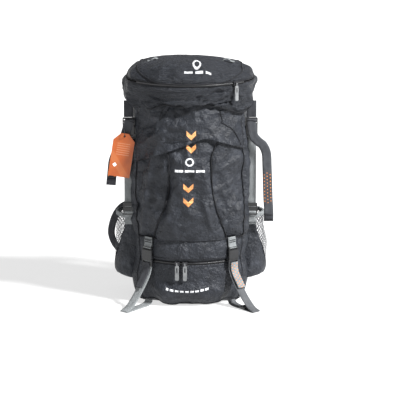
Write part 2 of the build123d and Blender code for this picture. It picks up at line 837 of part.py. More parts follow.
def hip_buckle(male):
    """Belt webbing and one buckle half at the wing's tip."""
    face = back_face + lumbar_size[1] + gap + hip_wing_thickness / 2
    inner = hip_pivot_x - hip_wing_length
    width, depth, height = hip_buckle_size
    strap = block((hip_buckle_x + width / 2, face - webbing_thickness / 2, lumbar_level - belt_width / 2),
                  (inner, face + webbing_thickness / 2, lumbar_level + belt_width / 2))
    body = Box(width, depth, height)
    half = strap + Pos(hip_buckle_x, face, lumbar_level) * fillet(body.edges().filter_by(Axis.Y), hip_buckle_corner)
    if male:
        half -= Pos(hip_buckle_x - width / 2, face, lumbar_level) * Box(*hip_buckle_notch)
    return half


def haul_loop():
    half = [(x, back_face + y) for x, y in haul_route]
    points = [(-x, y) for x, y in half] + list(reversed(half))
    band = trace(FilletPolyline(*points, radius=haul_bend), line_width=haul_thickness)
    loop = Pos(0, 0, haul_bottom) * extrude(band, amount=webbing_width)
    return loop & block((-2 * haul_route[0][0], back_face, 0), (2 * haul_route[0][0], 2 * back_face, bag_top))


def hang_tag():
    half = tag_width / 2
    foot = tag_head - tag_height
    plan = make_face(Polyline((-tag_head_half, tag_head), (tag_head_half, tag_head), (half, -tag_shoulder),
                              (half, foot), (-half, foot), (-half, -tag_shoulder), close=True))
    card = extrude(plan, amount=tag_thickness / 2, both=True)
    card -= Cylinder(tag_hole_radius, 4 * tag_thickness)
    return Pos(tag_x, tag_y, tag_hole_level) * Rot(0, tag_lean, 0) * Rot(90, 0, 0) * card


def tag_loop():
    ring = Torus(tag_loop_radius, tag_loop_cord)
    return Pos(tag_x, tag_y, tag_hole_level + tag_loop_radius) * Rot(0, 90, 0) * ring


# ---------------------------------------------------------------- files


def build():
    nodes = {
        "base_panel": base_panel(),
        "back_panel": back_panel(),
        "compartment_divider": compartment_divider(),
        "lower_front_panel": lower_front_panel(),
        "lower_hood": lower_hood(),
        "front_panel": front_panel(),
        "front_pocket": front_pocket(),
        "seam_piping": seam_piping(),
        "storm_flap": storm_flap(),
        "lower_zip": zip_line(lower, zip_half_angle, zip_level),
        "storm_collar": storm_collar(),
        "drawcord": drawcord(),
        "cord_lock_body": cord_lock_body(),
        "cord_lock_button": cord_lock_button(),
        "frame_sheet": frame_sheet(),
        "frame_stays": frame_stays(),
        "back_pads": back_pads(),
        "lumbar_pad": lumbar_pad(),
        "pocket_bindings": pocket_bindings(),
        "lower_webbing": lower_webbing(),
        "haul_loop": haul_loop(),
        "sewn_tabs": sewn_tabs(),
        "side_webbing": side_webbing(),
        "strap_adjusters": strap_adjusters(),
        "strap_tails": strap_tails(),
        "buckle_females": buckle_females(),
        "lid_buckle_males": lid_buckle_males(),
        "lid_gusset": lid_gusset(),
        "lid_lining": lid_lining(),
        "lid_crown": lid_crown(),
        "lid_webbing": lid_webbing(),
        "lid_zip": zip_line(lid, lid_zip_half_angle, lid_seam),
        "lid_zip_slider": zip_slider(lid, lid_slider_angle, lid_seam),
        "lid_zip_pull": zip_pull(lid, lid_slider_angle, lid_seam),
        "hang_tag": hang_tag(),
        "tag_loop": tag_loop(),
        "hip_buckle_male": hip_buckle(True),
        "hip_buckle_female": mirrored(hip_buckle(False)),
    }
    for name, side in (("left", -1), ("right", 1)):
        turn = mirrored if side < 0 else (lambda shape: shape)
        nodes[name + "_side_panel"] = turn(side_panel())
        nodes[name + "_front_side_panel"] = turn(front_side_panel())
        nodes[name + "_mesh_pocket"] = turn(mesh_pocket())
        nodes[name + "_shoulder_pad"] = turn(shoulder_pad())
        nodes[name + "_shoulder_ladder_lock"] = turn(shoulder_ladder_lock())
        nodes[name + "_sternum_strap"] = turn(sternum_strap())
        nodes[name + "_hip_wing"] = turn(hip_wing())
        nodes[name + "_front_buckle_male"] = front_place(side) * buckle_male()
        nodes[name + "_front_webbing"] = placed_front_webbing(side)
        nodes["lower_zip_slider_" + name] = zip_slider(lower, lower_slider_angles[name], zip_level)
        nodes["lower_zip_pull_" + name] = zip_pull(lower, lower_slider_angles[name], zip_level)
    os.makedirs("parts", exist_ok=True)
    for name, shape in nodes.items():
        save(name, shape)
    return nodes


nodes = build()
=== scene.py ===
import math

import bmesh
import bpy
import numpy as np
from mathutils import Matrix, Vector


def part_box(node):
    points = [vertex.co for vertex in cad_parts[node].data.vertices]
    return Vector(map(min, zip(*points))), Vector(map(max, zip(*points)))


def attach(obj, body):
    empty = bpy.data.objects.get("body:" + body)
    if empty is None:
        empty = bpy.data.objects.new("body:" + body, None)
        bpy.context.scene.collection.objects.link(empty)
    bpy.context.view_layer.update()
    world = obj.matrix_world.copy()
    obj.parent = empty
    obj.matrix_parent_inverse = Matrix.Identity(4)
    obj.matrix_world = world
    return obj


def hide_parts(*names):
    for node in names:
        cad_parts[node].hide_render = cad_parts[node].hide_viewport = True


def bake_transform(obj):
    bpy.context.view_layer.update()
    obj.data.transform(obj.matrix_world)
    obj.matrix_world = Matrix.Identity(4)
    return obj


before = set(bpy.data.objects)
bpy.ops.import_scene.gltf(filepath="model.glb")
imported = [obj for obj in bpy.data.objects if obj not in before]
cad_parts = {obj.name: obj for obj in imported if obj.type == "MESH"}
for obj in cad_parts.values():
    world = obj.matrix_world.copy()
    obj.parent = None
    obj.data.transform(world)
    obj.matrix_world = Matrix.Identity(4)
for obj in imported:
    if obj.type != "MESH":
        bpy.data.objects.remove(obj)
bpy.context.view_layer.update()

MM = 0.001
UP = np.array([0.0, 0.0, 1.0])
ALONG_X = (1.0, 0.0, 0.0)
ALONG_Y = (0.0, 1.0, 0.0)
SIDES = (("left", -1), ("right", 1))

# ---------------------------------------------------------------- sizes read from the frame
LOWER_LO, LOWER_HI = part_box("lower_front_panel")
PANEL_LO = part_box("front_panel")[0]
BACK_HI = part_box("back_panel")[1]
LID_LO, LID_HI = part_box("lid_gusset")
CROWN_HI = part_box("lid_crown")[1]
LOWER_ZIP_LO, LOWER_ZIP_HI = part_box("lower_zip")
LID_ZIP_LO, LID_ZIP_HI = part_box("lid_zip")
BUCKLE_LO, BUCKLE_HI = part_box("right_front_buckle_male")
HALF = LOWER_HI.x
SHOULDER = LOWER_HI.y
BACK = BACK_HI.y
CORNER = HALF - BACK_HI.x
SHELF = PANEL_LO.z
ZIP_LEVEL = (LOWER_ZIP_LO.z + LOWER_ZIP_HI.z) / 2
LID_SEAM = (LID_ZIP_LO.z + LID_ZIP_HI.z) / 2


class Arc:
    """The vertical cylinder behind a rounded front: radius, axis and points by angle."""

    def __init__(self, half, shoulder, front):
        rise = shoulder - front
        self.radius = (half ** 2 + rise ** 2) / (2 * rise)
        self.axis_y = front + self.radius

    def out(self, degrees):
        """Outward direction at an angle from straight ahead, positive towards +X."""
        turn = np.radians(degrees)
        return np.stack([np.sin(turn), -np.cos(turn), 0 * turn], -1)

    def across(self, degrees):
        """Horizontal direction along the arc, towards +X."""
        turn = np.radians(degrees)
        return np.stack([np.cos(turn), np.sin(turn), 0 * turn], -1)

    def point(self, degrees, radius, level):
        turn = np.radians(degrees)
        x = radius * np.sin(turn)
        y = self.axis_y - radius * np.cos(turn)
        return np.stack(np.broadcast_arrays(x, y, level), -1)


LOWER = Arc(HALF, SHOULDER, LOWER_LO.y)
LID = Arc(LID_HI.x, SHOULDER, LID_LO.y)
STRAP_ANGLE = math.degrees(math.atan2((BUCKLE_LO.x + BUCKLE_HI.x) / 2,
                                      LOWER.axis_y - (BUCKLE_LO.y + BUCKLE_HI.y) / 2))

# ---------------------------------------------------------------- noise, creases and outlines


def lattice(ix, iy, iz, seed):
    """Repeatable number from -1 to 1 at each whole-number lattice point."""
    h = (ix * 374761393 + iy * 668265263 + iz * 2147483647 + seed * 974634777).astype(np.int64)
    h = (h ^ (h >> 13)) * 1274126177
    h = (h ^ (h >> 16)) & 0xFFFFFF
    return h / float(0x7FFFFF) - 1.0


def noise(x, y, z, size, seed):
    """Smooth value noise: lattice numbers blended with the cubic 3t^2 - 2t^3 in each direction."""
    p = [np.asarray(a, float) / size for a in np.broadcast_arrays(x, y, z)]
    low = [np.floor(a).astype(np.int64) for a in p]
    t = [a - b for a, b in zip(p, low)]
    t = [a * a * (3 - 2 * a) for a in t]
    total = 0.0
    for dx in (0, 1):
        for dy in (0, 1):
            for dz in (0, 1):
                weight = (t[0] if dx else 1 - t[0]) * (t[1] if dy else 1 - t[1]) * (t[2] if dz else 1 - t[2])
                total = total + weight * lattice(low[0] + dx, low[1] + dy, low[2] + dz, seed)
    return total


def crumple(s, z, size, seed):
    """Ridged noise, 1 - 2|n|, on warped coordinates: sharp creases between soft facets."""
    warp = noise(s, z, 3.1, size * 1.6, seed + 11) * size * 0.6
    n = noise(s + warp, z - warp, 0.7, size, seed)
    return 1 - 2 * np.abs(n)


def crease(s, z, start, end, width, depth):
    """A straight fold: depth * exp(-(distance/width)^2), fading towards the two ends."""
    a = np.array(start)
    d = np.array(end) - a
    length = np.hypot(*d)
    along = ((s - a[0]) * d[0] + (z - a[1]) * d[1]) / length
    off = ((s - a[0]) * -d[1] + (z - a[1]) * d[0]) / length
    t = along / length
    fade = np.clip(np.minimum(t, 1 - t) * 5 + 0.35, 0, 1) * ((t > -0.07) & (t < 1.07))
    return depth * fade * np.exp(-(off / width) ** 2)


def half_outline(half, front, shoulder, back, corner):
    """Right half of the bag's plan from the front's middle to the back's middle: arc, side, corner, back."""
    arc = Arc(half, shoulder, front)
    end = math.asin(half / arc.radius)
    a = np.linspace(0, end, 160)
    pieces = [np.stack([arc.radius * np.sin(a), arc.axis_y - arc.radius * np.cos(a)], 1)]
    side = np.linspace(shoulder, back - corner, 60)[1:]
    pieces.append(np.stack([np.full_like(side, half), side], 1))
    b = np.linspace(0, math.pi / 2, 40)[1:]
    pieces.append(np.stack([half - corner + corner * np.cos(b), back - corner + corner * np.sin(b)], 1))
    rear = np.linspace(half - corner, 0, 80)[1:]
    pieces.append(np.stack([rear, np.full_like(rear, back)], 1))
    return np.vstack(pieces)


def closed_outline(half, front, shoulder, back, corner, soften, count=720):
    """Whole plan from the front's middle towards +X and round, evenly spaced, corners rubbed soft."""
    right = half_outline(half, front, shoulder, back, corner)
    left = right[::-1] * np.array([-1, 1])
    loop = np.vstack([right, left[1:]])
    run = np.concatenate([[0], np.cumsum(np.linalg.norm(np.diff(loop, axis=0), axis=1))])
    at = np.linspace(0, run[-1], count, endpoint=False)
    loop = np.stack([np.interp(at, run, loop[:, k]) for k in (0, 1)], 1)
    spread = soften / (run[-1] / count)
    offset = np.arange(-count // 2, count // 2)
    kernel = np.exp(-0.5 * (offset / spread) ** 2)
    kernel = np.fft.fft(np.fft.ifftshift(kernel / kernel.sum()))
    return np.stack([np.fft.ifft(np.fft.fft(loop[:, k]) * kernel).real for k in (0, 1)], 1), run[-1]


class Shell:
    """A sewn skin as a table of points: rows by height, columns by distance from the front's middle."""

    def __init__(self, levels, rows, girth):
        self.levels = np.asarray(levels)
        self.girth = girth
        closed = np.concatenate([rows, rows[:, :1]], 1)
        half = rows.shape[1] // 2
        self.table = np.concatenate([closed[:, half:-1], closed[:, :half + 1]], 1)
        ds = np.gradient(self.table, axis=1)
        dz = np.gradient(self.table, axis=0)
        normal = np.cross(ds, dz)
        length = np.linalg.norm(normal, axis=2, keepdims=True)
        self.normals = normal / np.maximum(length, 1e-12)

    def look_up(self, table, s, v):
        """Table entry at distance s round the front and row value v, blended between four neighbours."""
        columns = table.shape[1] - 1
        x = np.clip((np.asarray(s) / self.girth + 0.5) * columns, 0, columns - 1e-6)
        row = np.interp(v, self.levels, np.arange(len(self.levels)))
        row = np.clip(row, 0, len(self.levels) - 1 - 1e-6)
        x, row = np.broadcast_arrays(x, row)
        xi = x.astype(int)
        ri = row.astype(int)
        xf = (x - xi)[..., None]
        rf = (row - ri)[..., None]
        top = table[ri, xi] * (1 - xf) + table[ri, xi + 1] * xf
        bottom = table[ri + 1, xi] * (1 - xf) + table[ri + 1, xi + 1] * xf
        return top * (1 - rf) + bottom * rf

    def at(self, s, v, lift=0.0):
        base = self.look_up(self.table, s, v)
        normal = self.look_up(self.normals, s, v)
        normal = normal / np.maximum(np.linalg.norm(normal, axis=-1, keepdims=True), 1e-9)
        return base + normal * np.asarray(lift)[..., None]


# ---------------------------------------------------------------- meshes


def mesh_object(name, points, faces, uv=None):
    """One object from points (n, 3), faces as an array or a list of lists, and a UV pair for each point."""
    mesh = bpy.data.meshes.new(name)
    mesh.from_pydata(points.tolist(), [], faces if isinstance(faces, list) else faces.tolist())
    if uv is not None:
        layer = mesh.uv_layers.new(name="cloth")
        index = np.empty(len(mesh.loops), np.int32)
        mesh.loops.foreach_get("vertex_index", index)
        layer.data.foreach_set("uv", np.ascontiguousarray(uv[index], np.float32).ravel())
    mesh.polygons.foreach_set("use_smooth", np.ones(len(mesh.polygons), bool))
    mesh.update()
    obj = bpy.data.objects.new(name, mesh)
    bpy.context.scene.collection.objects.link(obj)
    return obj


def grid_faces(rows, columns, wrap=False):
    """Quads of a grid of points, rows first, with the last column joined to the first if wrap."""
    across = columns if wrap else columns - 1
    r, c = np.meshgrid(np.arange(rows - 1), np.arange(across), indexing="ij")
    n = (c + 1) % columns
    quads = np.stack([r * columns + c, r * columns + n, (r + 1) * columns + n, (r + 1) * columns + c], -1)
    return quads.reshape(-1, 4)


def cloth_grid(name, points, uv, thickness):
    """A grid of points as cloth: an outer skin with its thickness inwards."""
    rows, columns = points.shape[:2]
    obj = mesh_object(name, points.reshape(-1, 3), grid_faces(rows, columns), uv.reshape(-1, 2))
    wall = obj.modifiers.new("wall", "SOLIDIFY")
    wall.thickness = thickness
    wall.offset = -1
    wall.use_even_offset = False
    return obj


def finish_piece(obj, body, material, replaces=()):
    """Give a piece its material and body, and hide the CAD nodes it stands for; one without a body is left unattached.
    """
    obj.data.materials.clear()
    obj.data.materials.append(material)
    if body:
        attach(obj, body)
    if replaces:
        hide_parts(*replaces)
    return obj


def smooth_path(points, steps=12):
    """Points along a Catmull-Rom curve: cubic in each span, passing through every given point."""
    p = np.asarray(points, float)
    ends = np.vstack([2 * p[0] - p[1], p, 2 * p[-1] - p[-2]])
    t = np.linspace(0, 1, steps, endpoint=False)[:, None]
    spans = []
    for i in range(len(p) - 1):
        a, b, c, d = ends[i:i + 4]
        spans.append(0.5 * (2 * b + (c - a) * t + (2 * a - 5 * b + 4 * c - d) * t ** 2
                            + (3 * b - a - 3 * c + d) * t ** 3))
    return np.vstack(spans + [p[-1:]])


def unit(v):
    """Vectors divided by their lengths."""
    return v / np.maximum(np.linalg.norm(v, axis=-1, keepdims=True), 1e-12)


STRAP_SECTION = ((-1, 0), (-0.97, -1), (-0.5, -1.02), (0, -1), (0.5, -1.02), (0.97, -1),
                 (1, 0), (0.97, 1), (0.5, 1.02), (0, 1), (-0.5, 1.02), (-0.97, 1))


def strap(name, path, side, width, thickness, body, material, replaces=(), steps=12):
    """Flat webbing along a path: a rounded flat section carried along it, its width along side.

    Section: 12 points round a flat oblong, w/2 wide each way and t/2 thick, with thin rounded edges.
    """
    side = np.broadcast_to(np.asarray(side, float), np.shape(path))
    both = smooth_path(np.concatenate([path, side], 1), steps)
    path, side = both[:, :3], both[:, 3:]
    along = unit(np.gradient(path, axis=0))
    side = unit(side - along * np.sum(side * along, 1, keepdims=True))
    up = np.cross(side, along)
    w, t = width / 2, thickness / 2
    section = np.array([(w * a, t * b) for a, b in STRAP_SECTION])
    points = path[:, None] + side[:, None] * section[None, :, :1] + up[:, None] * section[None, :, 1:]
    run = np.concatenate([[0], np.cumsum(np.linalg.norm(np.diff(path, axis=0), axis=1))])
    uv = np.stack(np.broadcast_arrays(run[:, None], section[None, :, 0] + w), -1)
    count = len(section)
    faces = grid_faces(len(path), count, wrap=True)
    caps = []
    for row, turn in ((0, 1), (len(path) - 1, -1)):
        base = row * count
        for k in range(1, count // 2):
            quad = [base + k, base + k - 1 if k > 1 else base, base + (count - k + 1) % count, base + count - k]
            caps.append(quad[::turn])
    tidy = [list(dict.fromkeys(f)) for f in caps]
    faces = faces.tolist() + [f for f in tidy if len(f) > 2]
    obj = mesh_object(name, points.reshape(-1, 3), faces, uv.reshape(-1, 2))
    make_consistent(obj)
    return finish_piece(obj, body, material, replaces)


def make_consistent(obj):
    """Face normals of a closed mesh turned outwards."""
    bm = bmesh.new()
    bm.from_mesh(obj.data)
    bmesh.ops.recalc_face_normals(bm, faces=bm.faces)
    bm.to_mesh(obj.data)
    bm.free()


def cord_tube(name, path, radius, body, material, replaces=(), sides=8, closed=False):
    """Round cord: a circle of that radius carried along the path, with its ends closed to a point."""
    path = np.asarray(path, float)
    along = unit(np.gradient(path, axis=0))
    if closed:
        along = unit(np.roll(path, -1, 0) - np.roll(path, 1, 0))
    ref = np.where(np.abs(along @ UP)[:, None] > 0.9, np.array([0.0, 1.0, 0.0]), UP)
    a = unit(np.cross(along, ref))
    b = np.cross(along, a)
    turn = np.linspace(0, 2 * math.pi, sides, endpoint=False)
    c, d = np.cos(turn)[None, :, None], np.sin(turn)[None, :, None]
    ring = path[:, None] + radius * (a[:, None] * c + b[:, None] * d)
    run = np.concatenate([[0], np.cumsum(np.linalg.norm(np.diff(path, axis=0), axis=1))])
    uv = np.stack(np.broadcast_arrays(run[:, None], (turn * radius)[None, :]), -1).reshape(-1, 2)
    points = ring.reshape(-1, 3)
    rows = len(path)
    if closed:
        points_faces = grid_faces(rows + 1, sides, wrap=True) % (rows * sides)
        obj = mesh_object(name, points, points_faces, uv)
    else:
        first = rows * sides
        points = np.vstack([points, path[:1], path[-1:]])
        uv = np.vstack([uv, uv[:1], uv[-1:]])
        k = np.arange(sides)
        n = (k + 1) % sides
        start = np.stack([np.full(sides, first), n, k], 1)
        end = np.stack([np.full(sides, first + 1), (rows - 1) * sides + k, (rows - 1) * sides + n], 1)
        faces = grid_faces(rows, sides, wrap=True).tolist() + start.tolist() + end.tolist()
        obj = mesh_object(name, points, faces, uv)
    make_consistent(obj)
    return finish_piece(obj, body, material, replaces)


# ---------------------------------------------------------------- shaders


class Wire:
    """A node socket that can be used in arithmetic; each operation adds one Math node."""

    def __init__(self, shader, socket):
        self.shader = shader
        self.socket = socket

    def math(self, operation, other=None, third=None, swap=False):
        values = [self, other, third]
        if swap:
            values = [other, self, third]
        inputs = {i: v for i, v in enumerate(values) if v is not None}
        return self.shader.node("ShaderNodeMath", {"operation": operation}, inputs)

    def __add__(self, other):
        return self.math("ADD", other)

    __radd__ = __add__

    def __sub__(self, other):
        return self.math("SUBTRACT", other)

    def __rsub__(self, other):
        return self.math("SUBTRACT", other, swap=True)

    def __mul__(self, other):
        return self.math("MULTIPLY", other)

    __rmul__ = __mul__

    def __truediv__(self, other):
        return self.math("DIVIDE", other)

    def __pow__(self, other):
        return self.math("POWER", other)

    def __lt__(self, other):
        return self.math("LESS_THAN", other)

    def __gt__(self, other):
        return self.math("GREATER_THAN", other)

    def __mod__(self, other):
        return self.math("FLOORED_MODULO", other)

    def abs(self):
        return self.math("ABSOLUTE")

    def sin(self):
        return self.math("SINE")

    def sqrt(self):
        return self.math("SQRT")

    def limit(self):
        """The value held between 0 and 1."""
        return self.math("MINIMUM", 1.0).math("MAXIMUM", 0.0)


class Finish:
    """One material and its node tree."""

    def __init__(self, name, roughness=0.6, metallic=0.0, sheen=0.0, coat=0.0, shine=0.5):
        self.material = bpy.data.materials.new(name)
        self.material.use_nodes = True
        self.tree = self.material.node_tree
        self.shader = self.tree.nodes["Principled BSDF"]
        self.shader.inputs["Metallic"].default_value = metallic
        self.shader.inputs["Roughness"].default_value = roughness
        self.shader.inputs["Sheen Weight"].default_value = sheen
        self.shader.inputs["Sheen Roughness"].default_value = 0.5
        self.shader.inputs["Coat Weight"].default_value = coat
        self.shader.inputs["Specular IOR Level"].default_value = shine

    def node(self, kind, settings=None, inputs=None, output=0):
        made = self.tree.nodes.new(kind)
        for key, value in (settings or {}).items():
            if key == "ramp":
                self.set_ramp(made, value)
            else:
                setattr(made, key, value)
        for key, value in (inputs or {}).items():
            if isinstance(value, Wire):
                self.tree.links.new(value.socket, made.inputs[key])
            else:
                made.inputs[key].default_value = value
        return Wire(self, made.outputs[output])

    def set_ramp(self, node, stops):
        elements = node.color_ramp.elements
        while len(elements) < len(stops):
            elements.new(0.5)
        for element, (place, colour) in zip(elements, stops):
            element.position = place
            element.color = (*colour, 1)

    def uv(self):
        source = self.node("ShaderNodeUVMap", {"uv_map": "cloth"})
        split = self.node("ShaderNodeSeparateXYZ", {}, {0: source})
        other = split.socket.node.outputs
        return source, Wire(self, other[0]), Wire(self, other[1])

    def place(self):
        source = self.node("ShaderNodeTexCoord", {}, {}, 3)
        split = self.node("ShaderNodeSeparateXYZ", {}, {0: source})
        outputs = split.socket.node.outputs
        return source, Wire(self, outputs[0]), Wire(self, outputs[1]), Wire(self, outputs[2])

    def noise(self, vector, scale, detail=3.0, roughness=0.55):
        return self.node("ShaderNodeTexNoise", {}, {"Vector": vector, "Scale": scale, "Detail": detail,
                                                    "Roughness": roughness})

    def mix(self, share, low, high):
        """Colour between low and high."""
        def colour(value):
            return value if isinstance(value, Wire) else (*value, 1)
        return self.node("ShaderNodeMix", {"data_type": "RGBA"}, {0: share, 6: colour(low), 7: colour(high)}, 2)

    def ramp(self, value, stops):
        return self.node("ShaderNodeValToRGB", {"ramp": stops}, {0: value})

    def join(self, **links):
        names = {"colour": "Base Color", "roughness": "Roughness", "alpha": "Alpha", "normal": "Normal"}
        for key, wire in links.items():
            self.tree.links.new(wire.socket, self.shader.inputs[names[key]])
        return self.material

    def bump(self, height, distance, strength=1.0, under=None):
        inputs = {"Height": height, "Distance": distance, "Strength": strength}
        if under is not None:
            inputs["Normal"] = under
        return self.node("ShaderNodeBump", {}, inputs)


def thread_weave(u, v, pitch):
    """Plain weave height: a product of two waves, one along each thread direction."""
    return (u * (math.tau / pitch)).sin() * (v * (math.tau / pitch)).sin()


CHARCOAL = (0.0085, 0.0098, 0.0130)
CHARCOAL_LIGHT = (0.019, 0.0215, 0.0275)
# Pale top tone: the painted highlight at the top of the cloth's random patches, and also the colour of the pale ripstop
# net.
PALE_NET_AND_HIGHLIGHT = (0.048, 0.053, 0.065)


def pack_cloth(name, print_marks=None, tint=1.0):
    """Nylon pack cloth: fine weave, a raised ripstop net laid on the bias, random lighter and darker patches that are
    painted highlight and shade, and soft sheen.
    """
    finish = Finish(name, roughness=0.5, sheen=0.02, shine=0.26)
    source, u, v = finish.uv()
    cloud = finish.noise(source, 16, 4.0)
    fine = finish.noise(source, 900, 2.0)
    net_pitch = 0.0056
    bias_a = ((u + v) / net_pitch % 1.0 - 0.5).abs()
    bias_b = ((u - v) / net_pitch % 1.0 - 0.5).abs()
    net = ((bias_a - 0.42) * 12).limit() + ((bias_b - 0.42) * 12).limit()
    weave = thread_weave(u, v, 0.0011)
    mottle = finish.noise(source, 45, 3.0)
    grain = finish.noise(source, 300, 1.0)
    # Painted highlight and shade: random patches run from CHARCOAL up to the pale top tone and stand in for the light
    # and shade on folds, laid at random, with fine grain mixed in.
    shade = (cloud * 0.45 + mottle * 0.75 + fine * 0.35 + grain * 0.35 - 0.47).limit()
    stops = ((0.25, CHARCOAL), (0.55, CHARCOAL_LIGHT), (0.85, PALE_NET_AND_HIGHLIGHT))
    colour = finish.ramp(shade, [(at, tuple(c * tint for c in tone)) for at, tone in stops])
    colour = finish.mix(net * 0.16, colour, PALE_NET_AND_HIGHLIGHT)
    if print_marks:
        colour = print_marks(finish, u, v, colour)
    slack = finish.noise(source, 60, 3.0)
    ripple = finish.noise(source, 170, 2.0)
    under = finish.bump(slack, 0.012, 0.65)
    under = finish.bump(ripple, 0.0034, 0.6, under)
    normal = finish.bump(weave * 0.25 + net * 0.9 + fine * 0.5, 0.00022, 0.8, under)
    return finish.join(colour=colour, roughness=cloud * 0.22 + 0.36, normal=normal)


TAG_LEAN = math.radians(9)
ORANGE = (0.66, 0.235, 0.065)
ORANGE_PALE = (0.74, 0.36, 0.145)
WHITE_INK = (0.66, 0.67, 0.69)


def chevron(u, v, at_u, at_v, width, height, arm):
    """Mask of a V-shaped arrow: inside when |du| < width/2 and dv lies between two slanted lines."""
    du = (u - at_u).abs()
    rise = (v - at_v) - du * (height / (width / 2)) + height * 0.5
    return (du < width / 2) * (rise > -arm * 0.5) * (rise < arm * 0.5)


def bar(u, v, at_u, at_v, width, height):
    """Mask of a plain upright oblong."""
    return ((u - at_u).abs() < width / 2) * ((v - at_v).abs() < height / 2)


def ring_mark(u, v, at_u, at_v, radius, line):
    """Mask of a plain ring."""
    distance = ((u - at_u) ** 2.0 + (v - at_v) ** 2.0).sqrt()
    return ((distance - radius).abs() < line / 2) * 1.0


CHEVRON = (24 * MM, 12 * MM, 12.5 * MM)


def pocket_print(finish, u, v, colour):
    """Three arrows down the middle, and between them a plain ring over three plain bars."""
    arrows = chevron(u, v, 3 * MM, 433.5 * MM, *CHEVRON)
    arrows = arrows + chevron(u, v, -4 * MM, 330 * MM, *CHEVRON)
    arrows = arrows + chevron(u, v, -4 * MM, 293 * MM, *CHEVRON)
    fade = ((v * -55).math("ADD", 18) % 1.0).limit()
    orange = finish.mix(fade, ORANGE, ORANGE_PALE)
    colour = finish.mix(arrows.limit(), colour, orange)
    marks = ring_mark(u, v, -1 * MM, 399 * MM, 8.5 * MM, 4 * MM)
    for at, width in ((-26, 20), (-1, 22), (24, 20)):
        marks = marks + bar(u, v, at * MM, 376 * MM, width * MM, 6 * MM)
    return finish.mix(marks.limit(), colour, WHITE_INK)


def yoke_print(finish, u, v, colour):
    arrow = chevron(u, v, 3 * MM, 468 * MM, *CHEVRON)
    return finish.mix(arrow.limit(), colour, ORANGE_PALE)


def lower_print(finish, u, v, colour):
    """A row of short plain dashes on a shallow arc."""
    arc = v - 47 * MM - (u + 7 * MM) ** 2.0 * 2.2
    dash = ((u / (13 * MM)) % 1.0 < 0.72) * ((u + 7 * MM).abs() < 55 * MM) * (arc.abs() < 2.6 * MM)
    return finish.mix(dash, colour, WHITE_INK)


def lid_print(finish, u, v, colour):
    """A plain ring on the crown, stretched towards the back so that it looks round from in front, and bars."""
    _, x, y, z = finish.place()
    ring = ring_mark(x, y * 0.42, 18 * MM, -80 * MM * 0.42, 9 * MM, 4.5 * MM)
    for at, width in ((-4, 22), (24, 20), (48, 14)):
        ring = ring + bar(x, y, at * MM, -113.5 * MM, width * MM, 6 * MM)
    above = z > 0.606
    return finish.mix((ring * above).limit(), colour, WHITE_INK)


def webbing(name, dark, light, dots=None):
    """Woven strap: slanted ribs that meet in the middle, and faint dirt."""
    finish = Finish(name, roughness=0.72, sheen=0.04, shine=0.2)
    source, u, v = finish.uv()
    middle = (v - 12.5 * MM).abs()
    rib = ((u + middle * 0.9) * (math.tau / (2.4 * MM))).sin()
    cross = (v * (math.tau / (1.6 * MM))).sin()
    cloud = finish.noise(source, 45, 4.0)
    fine = finish.noise(source, 1500, 2.0)
    shade = (cloud * 0.6 + rib * 0.10 + fine * 0.35 - 0.05).limit()
    colour = finish.ramp(shade, [(0.2, dark), (0.75, light)])
    if dots:
        start, end = dots
        across = (v / (8 * MM)) % 1.0 - 0.5
        stagger = ((v / (16 * MM)) % 1.0 > 0.5) * 0.5
        step = (u / (9 * MM) + stagger) % 1.0 - 0.5
        round_dot = (across ** 2.0 * 64 + step ** 2.0 * 81).sqrt()
        mask = (round_dot < 1.5) * (u > start) * (u < end)
        colour = finish.mix(mask, colour, ORANGE)
    normal = finish.bump(rib * 0.7 + cross * 0.25 + fine * 0.4, 0.00035, 0.9)
    return finish.join(colour=colour, roughness=cloud * 0.2 + 0.6, normal=normal)


def moulded_plastic(name, colour, light, roughness=0.36):
    """Moulded acetal: fine spark texture, slight handling shine."""
    finish = Finish(name, roughness=roughness)
    source = finish.place()[0]
    cloud = finish.noise(source, 60, 4.0)
    spark = finish.noise(source, 2600, 2.0)
    tone = finish.ramp((cloud * 0.8 + spark * 0.2).limit(), [(0.3, colour), (0.75, light)])
    normal = finish.bump(spark, 0.00008, 0.6)
    return finish.join(colour=tone, roughness=cloud * 0.25 + (roughness - 0.1), normal=normal)


def foam_mesh(name):
    """Spacer mesh over foam: rows of small round holes, staggered."""
    finish = Finish(name, roughness=0.85, sheen=0.10, shine=0.15)
    source, x, _, z = finish.place()
    a = (x * (math.tau / 0.0046)).sin()
    b = (z * (math.tau / 0.0046)).sin()
    holes = ((a * b).abs() * 1.6 - 0.3).limit()
    cloud = finish.noise(source, 30, 3.0)
    colour = finish.mix(holes, (0.010, 0.010, 0.012), (0.040, 0.041, 0.047))
    colour = finish.mix(cloud * 0.4, colour, (0.05, 0.052, 0.06))
    normal = finish.bump(holes, 0.0007, 0.8)
    return finish.join(colour=colour, roughness=cloud * 0.1 + 0.75, normal=normal)


def open_net(name):
    """Stretch net: crossed yarns on the bias with open diamonds between them."""
    finish = Finish(name, roughness=0.7, shine=0.25)
    source, u, v = finish.uv()
    wobble = (finish.noise(source, 55, 2.0) - 0.5) * 0.004
    pitch = 0.0072
    a = (((u + wobble) + v * 0.62) / pitch % 1.0 - 0.5).abs()
    b = (((u + wobble) - v * 0.62) / pitch % 1.0 - 0.5).abs()
    yarn = ((a.math("MAXIMUM", b) - 0.335) * 14).limit()
    fine = finish.noise(source, 1800, 2.0)
    colour = finish.ramp(fine, [(0.3, (0.018, 0.020, 0.025)), (0.7, (0.085, 0.090, 0.100))])
    normal = finish.bump(yarn + fine * 0.3, 0.0005, 0.9)
    finish.material.surface_render_method = "DITHERED"
    return finish.join(colour=colour, alpha=yarn, normal=normal)


